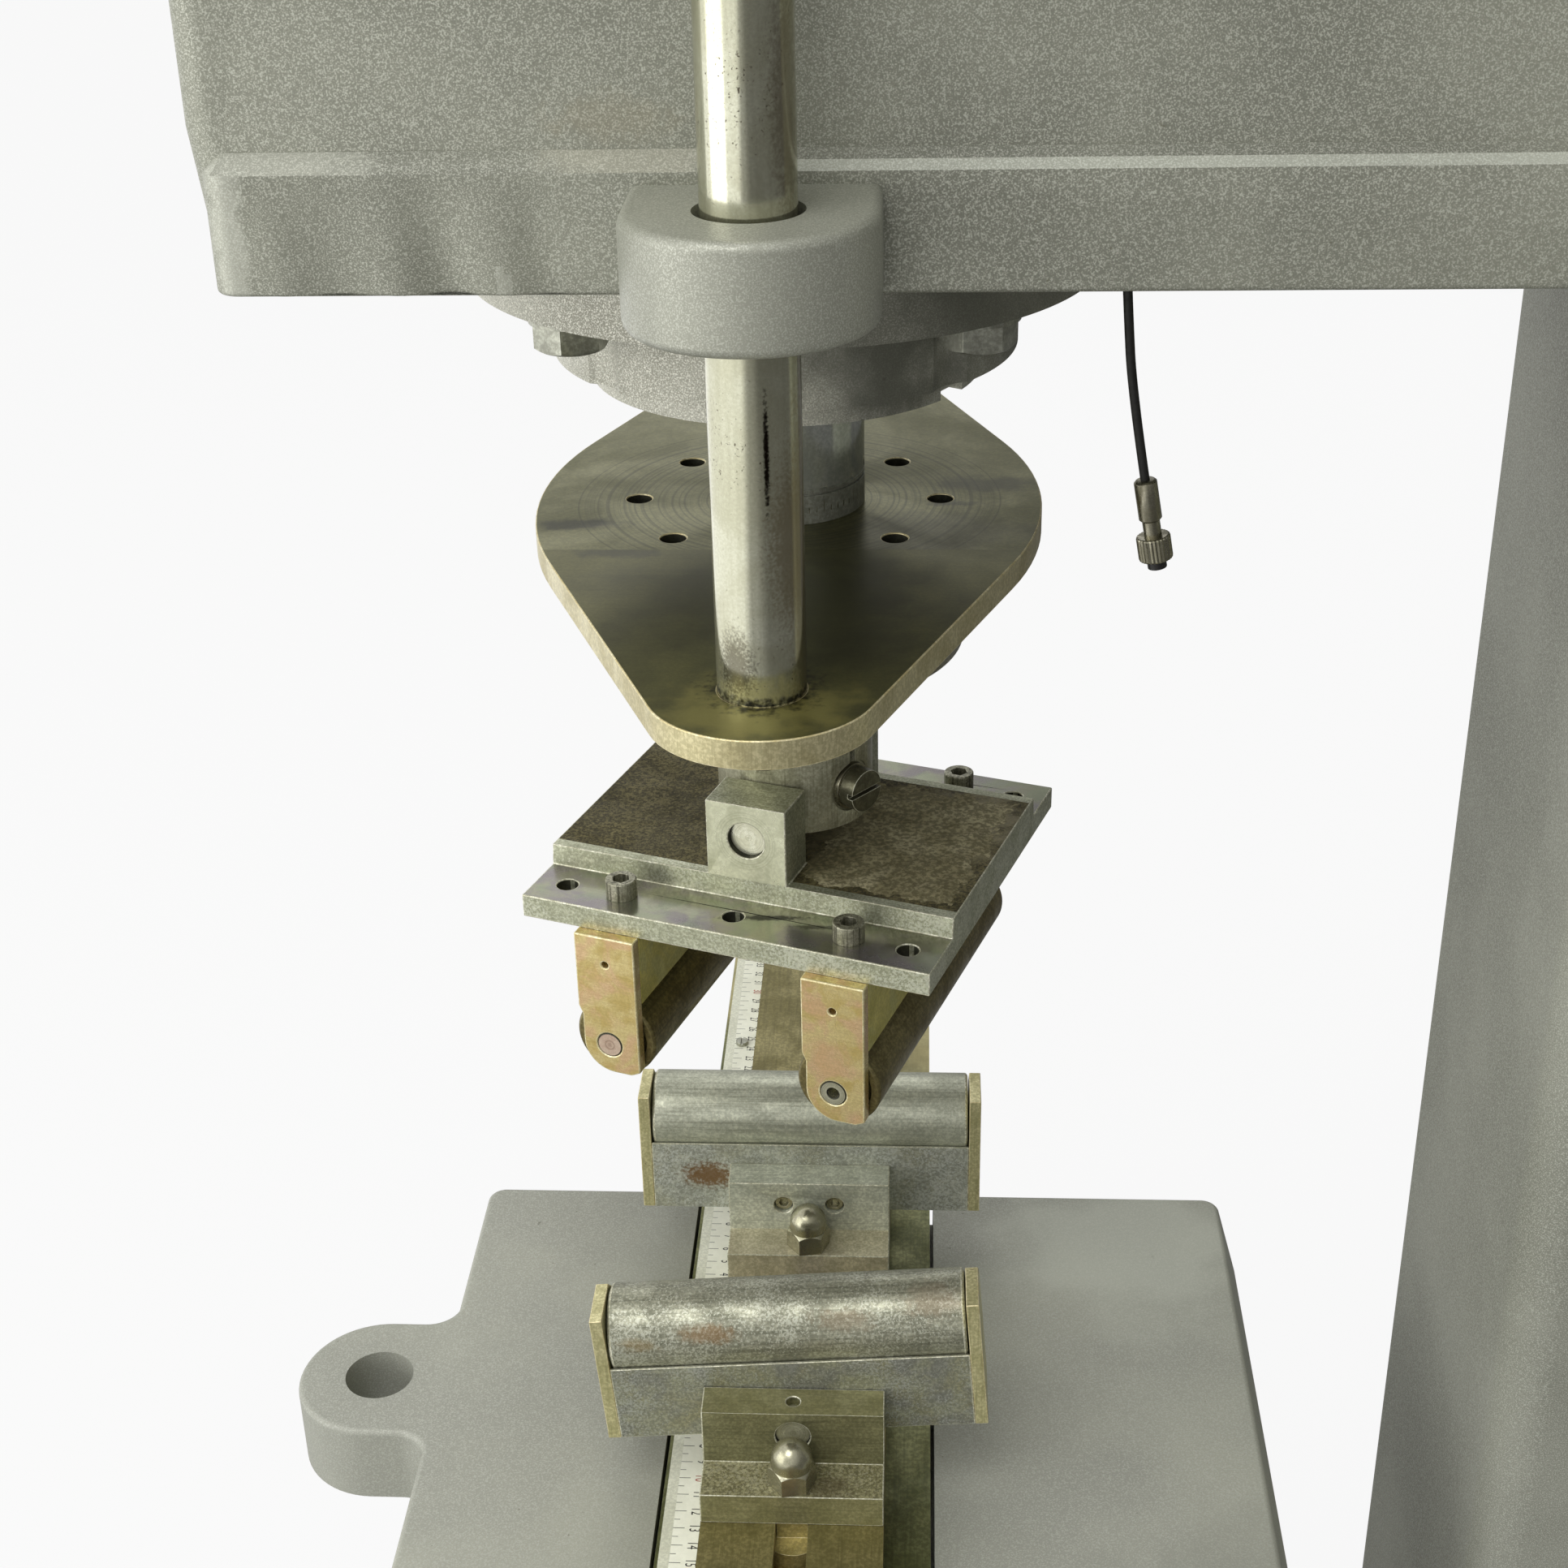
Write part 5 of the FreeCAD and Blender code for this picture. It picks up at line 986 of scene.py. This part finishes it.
@dataclass
class SignalCable:
    """The hanging signal cable and its knurled connector."""

    exit: tuple[float, float, float] = (0.1234, -0.060, 0.983)
    steps: tuple[tuple[float, float, float], ...] = (
        (0.0020, 0.0, -0.026), (0.0046, 0.0006, -0.053), (0.0109, 0.0006, -0.0875))
    diameter: float = 0.0035
    knurls: int = 28
    knurl_depth: float = 0.28 * MM
    knurl_edge: float = 0.7 * MM
    ring_radius: float = 6.4 * MM
    ring_length: float = 9.5 * MM

    def build(self, shop: FinishShop) -> None:
        """Hangs the cable and knurls its ring.

        Args:
            shop: where the finishes are made.
        """
        route = [Vector(self.exit)] + [Vector(self.exit) + Vector(step) for step in self.steps]
        curve = bpy.data.curves.new("signal_cable_line", "CURVE")
        curve.dimensions = "3D"
        spline = curve.splines.new("NURBS")
        spline.points.add(len(route) - 1)
        for point, place in zip(spline.points, route):
            point.co = (*place, 1)
            point.radius = self.diameter / 2
        spline.order_u = 3
        spline.use_endpoint_u = True
        curve.bevel_depth = 1.0
        curve.bevel_resolution = 5
        curve.resolution_u = 16
        curve.use_fill_caps = True
        cable = bpy.data.objects.new("signal_cable_line", curve)
        bpy.context.scene.collection.objects.link(cable)
        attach(cable, Body.FRAME.value)
        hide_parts("signal_cable")
        curve.materials.append(shop.material(CABLE_JACKET))
        plug = [Finished("connector_body", NICKEL, 0.2 * MM).build(shop), self.knurled_ring(shop),
                Finished("connector_tip", TIP_BLACK, 0.15 * MM).build(shop)]

    def knurled_ring(self, shop: FinishShop) -> bpy.types.Object:
        """Builds the connector's ring with knurls round it.

        Args:
            shop: where the nickel is made.

        Returns:
            The ring, which stands for its node.
        """
        low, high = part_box("connector_ring")
        centre = (Vector(low) + Vector(high)) / 2
        along = (Vector(self.steps[2]) - Vector(self.steps[1])).normalized()
        mesh = bmesh.new()
        bmesh.ops.create_cone(mesh, cap_ends=True, segments=self.knurls * 2, radius1=self.ring_radius,
                              radius2=self.ring_radius, depth=self.ring_length)
        rims = [edge for edge in mesh.edges if len({round(v.co.z, 6) for v in edge.verts}) == 1]
        bmesh.ops.bevel(mesh, geom=rims, offset=self.knurl_edge, segments=2, profile=0.5, affect="EDGES",
                        material=-1)
        for vert in mesh.verts:
            step = round(math.atan2(vert.co.y, vert.co.x) / math.tau * self.knurls * 2)
            if step % 2:
                vert.co.xy *= 1 - self.knurl_depth / self.ring_radius
        turn = Vector((0, 0, 1)).rotation_difference(along).to_matrix().to_4x4()
        bmesh.ops.transform(mesh, matrix=Matrix.Translation(centre) @ turn, verts=mesh.verts)
        ring = piece_from(mesh, "knurled_ring", Body.FRAME)
        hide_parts("connector_ring")
        shop.coat(ring, NICKEL)
        return ring


def on_head(u: float, v: float, z: float) -> Vector:
    """Turns a place given along the loading plate's sides into the frame's."""
    return Matrix.Rotation(-math.radians(HEAD_TURN), 3, "Z") @ Vector((u, v, z))


def level_face(low: float, high: float) -> Callable[[Vector, Vector], bool]:
    """Gives a test for upward faces between two heights in metres."""
    return lambda middle, normal: normal.z > 0.9 and low < middle.z < high


def upright_face(middle: Vector, normal: Vector) -> bool:
    """Tells whether a face stands upright."""
    return abs(normal.z) < 0.5


def shelf_face(middle: Vector, normal: Vector) -> bool:
    """Tells whether a face is part of the sloping shelf over the arm's skirt."""
    return normal.y < -0.6 and normal.z > 0.6 and middle.z < SHELF_TOP


def plain(finish: "Steel | CastPaint", edge: float, *nodes: str,
          rim: "Steel | CastPaint | None" = None) -> list[Finished]:
    """Lists pieces that share one finish, edge size and edge finish."""
    return [Finished(node, finish, edge, rim=rim) for node in nodes]


def finished_pieces() -> list[Finished]:
    """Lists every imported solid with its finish, edges and zones.

    Returns:
        The pieces, castings first.
    """
    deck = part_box("loading_plate")[1][2] - LUG_RISE
    strip = DECK_HALF - DECK_STRIP
    along = on_head(0, 1, 0)
    across = on_head(1, 0, 0)
    ledge_end = PLATE_HALF_DEPTH - 2 * MM
    side_end = PLATE_HALF_WIDTH - 2 * MM
    pin = (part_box("tilt_pin")[0][2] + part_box("tilt_pin")[1][2]) / 2
    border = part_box("ruler")[0][0] + RULER_BORDER
    slot_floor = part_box("slot_bar")[1][2] - SLOT_DEPTH
    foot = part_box("front_block")[0][2] + FOOT_RISE
    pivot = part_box("front_block")[0][2] + PIVOT_RISE
    return [
        Arm("upper_arm", ARM_PAINT, 2.0 * MM, 3, rim=ARM_EDGE_WEAR_AND_HIGHLIGHT,
            cuts=(Cut(Vector((0, 0, 0)), Vector((1, 0, 0))),
                  Cut(Vector((0, 0, SHELF_MIDDLE)), Vector((0, 0, 1)))),
            # On the shelf, painted shade left of the boss and a painted highlight right of it; the boss
            # takes a lighter paint that is painted light.
            zones=(Zone(ARM_SHELF_SHADED, shelf_face),
                   Zone(ARM_SHELF_HIGHLIGHT, lambda middle, normal: shelf_face(middle, normal)
                        and middle.x > 0 and middle.z < SHELF_MIDDLE),
                   Zone(BOSS_LIT_PAINT, lambda middle, normal: abs(middle.y) > BOSS_ROOT))),
        Finished("table", TABLE_PAINT, 0.8 * MM),
        *plain(POST_PAINT, 1.0 * MM, "base_plate", "pedestal", "column"),
        *plain(FLANGE_PAINT_LIT_AND_SHADED, 0.8 * MM, "cylinder_flange", "cylinder_cap"),
        *plain(BOLT_STEEL, 0.2 * MM, "frame_bolts", "flange_bolts", "ruler_screws"),
        *plain(BLACK_STEEL, 0.15 * MM, "rail_screws", "slot_bar_screws", "cap_bolts", "guide_rod_screws",
               "hub_screws"),
        Finished("clamp_screw", CLAMP_STEEL, 0.25 * MM, rim=EDGE_WEAR_AND_HIGHLIGHT),
        *plain(T_BOLT_GOLD, 0.6 * MM, "front_t_bolt", "back_t_bolt", rim=GOLD_EDGE_HIGHLIGHT),
        Finished("rail_bar", RAIL_STEEL, 0.4 * MM, rim=EDGE_WEAR_AND_HIGHLIGHT),
        Finished("slot_bar", SLOT_STEEL, 0.35 * MM, zones=(Zone(SLOT_GOLD, level_face(0, slot_floor)),),
                 rim=GOLD_EDGE_HIGHLIGHT),
        Finished("ruler", RULER_WHITE, 0.0, cuts=(Cut(Vector((border, 0, 0)), Vector((1, 0, 0))),),
                 zones=(Zone(RULER_MARGIN, lambda middle, normal: middle.x < border),)),
        Finished("cylinder_barrel", GROUND_STEEL),
        Finished("rod_bush", BUSH_BRASS),
        *plain(SEAL_RUBBER, 0.0, "rod_wiper", "piston_seals"),
        *plain(NICKEL, 0.2 * MM, "oil_unions", "cable_gland", "clamp_washer"),
        *plain(SCREW_DARK, 0.2 * MM, "plate_screws"),
        *plain(NUT_STEEL, 0.2 * MM, "front_dome_nut", "back_dome_nut", "back_block_screws"),
        Finished("piston", PISTON_CHROME, 0.2 * MM),
        Finished("mark_ring", RING_OXIDE, 0.2 * MM),
        # The guide plate's tool-hole walls take painted shade.
        Finished("guide_plate", PLATE_OLIVE, 0.5 * MM, rim=GOLD_EDGE_HIGHLIGHT, free=True,
                 cuts=(Cut(Vector((0, SATIN_FRONT, 0)), Vector((0, 1, 0))),),
                 zones=(Zone(PLATE_EDGE, upright_face),
                        Zone(BORE_SHADE, lambda middle, normal: upright_face(middle, normal)
                             and middle.xy.length < TOOL_REACH),
                        Zone(PLATE_SATIN, lambda middle, normal: normal.z > 0.9
                             and middle.y < SATIN_FRONT))),
        *plain(ROD_PLATING, 0.4 * MM, "guide_rod_front", "guide_rod_back"),
        Finished("spindle_hub", HUB_STEEL, 0.4 * MM),
        Finished("head_sleeve", SLEEVE_STEEL, 0.3 * MM, rim=EDGE_WEAR_AND_HIGHLIGHT),
        Finished("loading_plate", LOAD_ZINC, 0.5 * MM, rim=EDGE_WEAR_AND_HIGHLIGHT, free=True,
                 cuts=(Cut(along * strip, along), Cut(along * -strip, along)),
                 zones=(Zone(DECK_DARK, lambda middle, normal: level_face(deck - 0.5 * MM, deck + 0.5 * MM)(
                            middle, normal) and abs(middle.dot(along)) < strip),
                        Zone(LEDGE_SHEEN_AND_SHADOWS, level_face(deck - LEDGE_DROP, deck - 2 * MM)),
                        Zone(LUG_TURNED, lambda middle, normal: middle.z > deck + 1 * MM
                             and abs(normal.dot(along)) > 0.9),
                        # Painted shade in the tilt-pin bore and on the upright walls under the deck.
                        Zone(BORE_SHADE, lambda middle, normal: abs(normal.dot(along)) < 0.1
                             and math.hypot(middle.dot(across), middle.z - pin) < BORE_REACH),
                        Zone(BORE_SHADE, lambda middle, normal: upright_face(middle, normal)
                             and middle.z < deck - 5 * MM and strip < abs(middle.dot(along)) < ledge_end
                             and abs(normal.dot(along)) < 0.98 and abs(middle.dot(across)) < side_end))),
        Finished("tilt_pin", PIN_STEEL, 0.3 * MM),
        Finished("front_pivot_pin", PIVOT_STEEL, 0.4 * MM, rim=EDGE_WEAR_AND_HIGHLIGHT),
        # The axles' broken edges take painted shade.
        Finished("upper_axles", AXLE_STEEL, 0.45 * MM, rim=BORE_SHADE,
                 zones=(Zone(AXLE_COPPER, lambda middle, normal: middle.x < 0),)),
        *plain(HOLDER_ZINC, 0.3 * MM, "holder_bar_left", "holder_bar_right"),
        Finished("holder_ends", CHROMATE, 0.7 * MM, rim=GOLD_EDGE_HIGHLIGHT, free=True),
        *plain(CHROMATE_PALE, 0.4 * MM, "front_cradle_ends", "back_cradle_ends", rim=GOLD_EDGE_HIGHLIGHT),
        *plain(ROLLER_DARK, 0.4 * MM, "upper_roller_left", "upper_roller_right"),
        Finished("front_roller", ROLLER_GREY, 0.5 * MM, rim=EDGE_WEAR_AND_HIGHLIGHT, free=True),
        Finished("back_roller", ROLLER_BACK, 0.5 * MM, rim=EDGE_WEAR_AND_HIGHLIGHT, free=True),
        Finished("front_cradle_bar", BAR_ZINC, 0.5 * MM, rim=EDGE_WEAR_AND_HIGHLIGHT, free=True),
        Finished("back_cradle_bar", BAR_BACK, 0.5 * MM, rim=EDGE_WEAR_AND_HIGHLIGHT, free=True),
        Finished("front_block", BLOCK_OLIVE, 0.5 * MM, rim=EDGE_WEAR_AND_HIGHLIGHT, free=True,
                 zones=(Zone(FOOT_WORN_AND_SHADED, level_face(0, foot)),
                        Zone(BLOCK_SHADE, lambda middle, normal: normal.y < -0.9 and middle.z > foot),
                        # Painted shade in the pivot pin's bore.
                        Zone(BORE_SHADE, lambda middle, normal: abs(normal.y) < 0.2
                             and math.hypot(middle.x, middle.z - pivot) < PIVOT_REACH))),
        Finished("back_block", BLOCK_BLUE, 0.5 * MM, rim=EDGE_WEAR_AND_HIGHLIGHT, free=True,
                 zones=(Zone(BACK_FOOT, lambda middle, normal: middle.z < foot
                             and (normal.z > 0.9 or normal.y < -0.9)),)),
    ]


@dataclass
class Studio:
    """The floor, the lamps and the camera at the photographed angle."""

    lens: float = 54.0
    pitch: float = 27.57
    yaw: float = 3.685
    roll: float = 1.386
    place: tuple[float, float, float] = (0.051855, -0.881351, 1.198711)
    floor_size: float = 14.0
    floor_glow: float = 0.9
    bright_side: tuple[float, float, float] = (-0.86, -0.22, 0.46)
    bright_sky: float = 1.05
    dim_sky: float = 0.16
    window_floor: float = 1.12
    middle_floor: float = 0.38
    dim_floor: float = 0.10

    def build(self) -> None:
        """Sets up everything round the machine."""
        self.camera()
        self.floor()
        self.world()
        self.lamp("key_lamp", (-2.4, -1.2, 1.35), 2.2, 29)
        self.lamp("top_lamp", (-0.7, -1.3, 3.0), 1.5, 26)
        self.lamp("front_lamp", (-0.5, -2.6, 0.9), 1.4, 7).visible_glossy = False
        self.lamp("back_lamp", (-0.6, 2.2, 2.4), 1.6, 5)
        bpy.context.scene.view_settings.view_transform = "Standard"

    def camera(self) -> None:
        """Stands the camera where the photograph was taken."""
        pitch, yaw, roll = (math.radians(turn) for turn in (self.pitch, self.yaw, self.roll))
        ahead = Vector((-math.sin(yaw) * math.cos(pitch), math.cos(yaw) * math.cos(pitch),
                        -math.sin(pitch)))
        level = Vector((math.cos(yaw), math.sin(yaw), 0))
        down = ahead.cross(level)
        right = math.cos(roll) * level + math.sin(roll) * down
        up = math.sin(roll) * level - math.cos(roll) * down
        data = bpy.data.cameras.new("camera")
        data.sensor_width = 36
        data.lens = self.lens
        data.clip_start = 0.01
        camera = bpy.data.objects.new("camera", data)
        turn = Matrix((right, up, -ahead)).transposed().to_4x4()
        camera.matrix_world = Matrix.Translation(self.place) @ turn
        bpy.context.scene.collection.objects.link(camera)
        bpy.context.scene.camera = camera

    def floor(self) -> None:
        """Lays the pale floor."""
        mesh = bmesh.new()
        bmesh.ops.create_grid(mesh, x_segments=1, y_segments=1, size=self.floor_size)
        data = bpy.data.meshes.new("studio_floor")
        mesh.to_mesh(data)
        mesh.free()
        floor = bpy.data.objects.new("studio_floor", data)
        bpy.context.scene.collection.objects.link(floor)
        bench = NodeBench("studio_floor")
        bench.shader.inputs["Base Color"].default_value = (0.5, 0.5, 0.49, 1)
        bench.shader.inputs["Roughness"].default_value = 0.9
        across = bench.tree.nodes.new("ShaderNodeSeparateXYZ")
        bench.link(bench.place, across.inputs[0])
        window = bench.between(across.outputs["X"], -1.4, -0.5, self.window_floor, 0.0)
        room = bench.between(across.outputs["X"], -0.3, 1.0, self.middle_floor, self.dim_floor)
        mirrored = bench.reckon("ADD", window, room)
        glow = bench.tree.nodes.new("ShaderNodeEmission")
        mix = bench.tree.nodes.new("ShaderNodeMixShader")
        seen = bench.tree.nodes.new("ShaderNodeLightPath")
        direct = bench.reckon("MAXIMUM", seen.outputs["Is Camera Ray"], seen.outputs["Is Transmission Ray"])
        gloss = bench.reckon("MULTIPLY", seen.outputs["Is Glossy Ray"], mirrored)
        bench.link(bench.reckon("MAXIMUM", direct, gloss), glow.inputs["Strength"])
        rays = bench.reckon("MAXIMUM", direct, seen.outputs["Is Glossy Ray"])
        bench.link(bench.reckon("MULTIPLY", rays, self.floor_glow), mix.inputs[0])
        bench.link(bench.shader.outputs["BSDF"], mix.inputs[1])
        bench.link(glow.outputs[0], mix.inputs[2])
        output = next(node for node in bench.tree.nodes if node.type == "OUTPUT_MATERIAL")
        bench.link(mix.outputs[0], output.inputs["Surface"])
        data.materials.append(bench.material)

    def world(self) -> None:
        """Sets the soft light from all round, brighter on the photographed window's side."""
        world = bpy.data.worlds.new("studio")
        world.use_nodes = True
        nodes = world.node_tree.nodes
        links = world.node_tree.links
        background = nodes["Background"]
        side = nodes.new("ShaderNodeTexCoord")
        lean = nodes.new("ShaderNodeVectorMath")
        lean.operation = "DOT_PRODUCT"
        links.new(side.outputs["Generated"], lean.inputs[0])
        lean.inputs[1].default_value = self.bright_side
        sky = nodes.new("ShaderNodeMapRange")
        sky.interpolation_type = "SMOOTHSTEP"
        links.new(lean.outputs["Value"], sky.inputs["Value"])
        sky.inputs["From Min"].default_value = -0.7
        sky.inputs["From Max"].default_value = 0.85
        sky.inputs["To Min"].default_value = self.dim_sky
        sky.inputs["To Max"].default_value = self.bright_sky
        seen = nodes.new("ShaderNodeLightPath")
        rays = nodes.new("ShaderNodeMath")
        rays.operation = "MAXIMUM"
        links.new(seen.outputs["Is Camera Ray"], rays.inputs[0])
        links.new(seen.outputs["Is Transmission Ray"], rays.inputs[1])
        strength = nodes.new("ShaderNodeMath")
        strength.operation = "MAXIMUM"
        links.new(sky.outputs["Result"], strength.inputs[0])
        links.new(rays.outputs[0], strength.inputs[1])
        links.new(strength.outputs[0], background.inputs["Strength"])
        background.inputs["Color"].default_value = (1, 1, 1, 1)
        bpy.context.scene.world = world

    def lamp(self, name: str, place: tuple[float, float, float], size: float,
             power: float) -> bpy.types.Object:
        """Hangs one soft lamp that looks at the machine's middle.

        Args:
            name: the lamp's name.
            place: where it hangs.
            size: the side of its square face.
            power: its power in watts.

        Returns:
            The lamp.
        """
        data = bpy.data.lights.new(name, "AREA")
        data.size = size
        data.energy = power
        lamp = bpy.data.objects.new(name, data)
        lamp.location = place
        aim = Vector((0.0, 0.0, 0.75)) - Vector(place)
        lamp.rotation_euler = aim.to_track_quat("-Z", "Y").to_euler()
        bpy.context.scene.collection.objects.link(lamp)
        return lamp


def main() -> None:
    """Dresses the machine and stands it in the studio."""
    logging.basicConfig(level=logging.INFO, format="%(name)s %(message)s")
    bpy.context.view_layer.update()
    shop = FinishShop()
    Studio().build()
    SignalCable().build(shop)
    for piece in finished_pieces():
        piece.build(shop)
    Ruler().build(shop)
    RamRing().build(shop)
    DeckDust().build(shop)


if __name__ == "__main__":
    main()
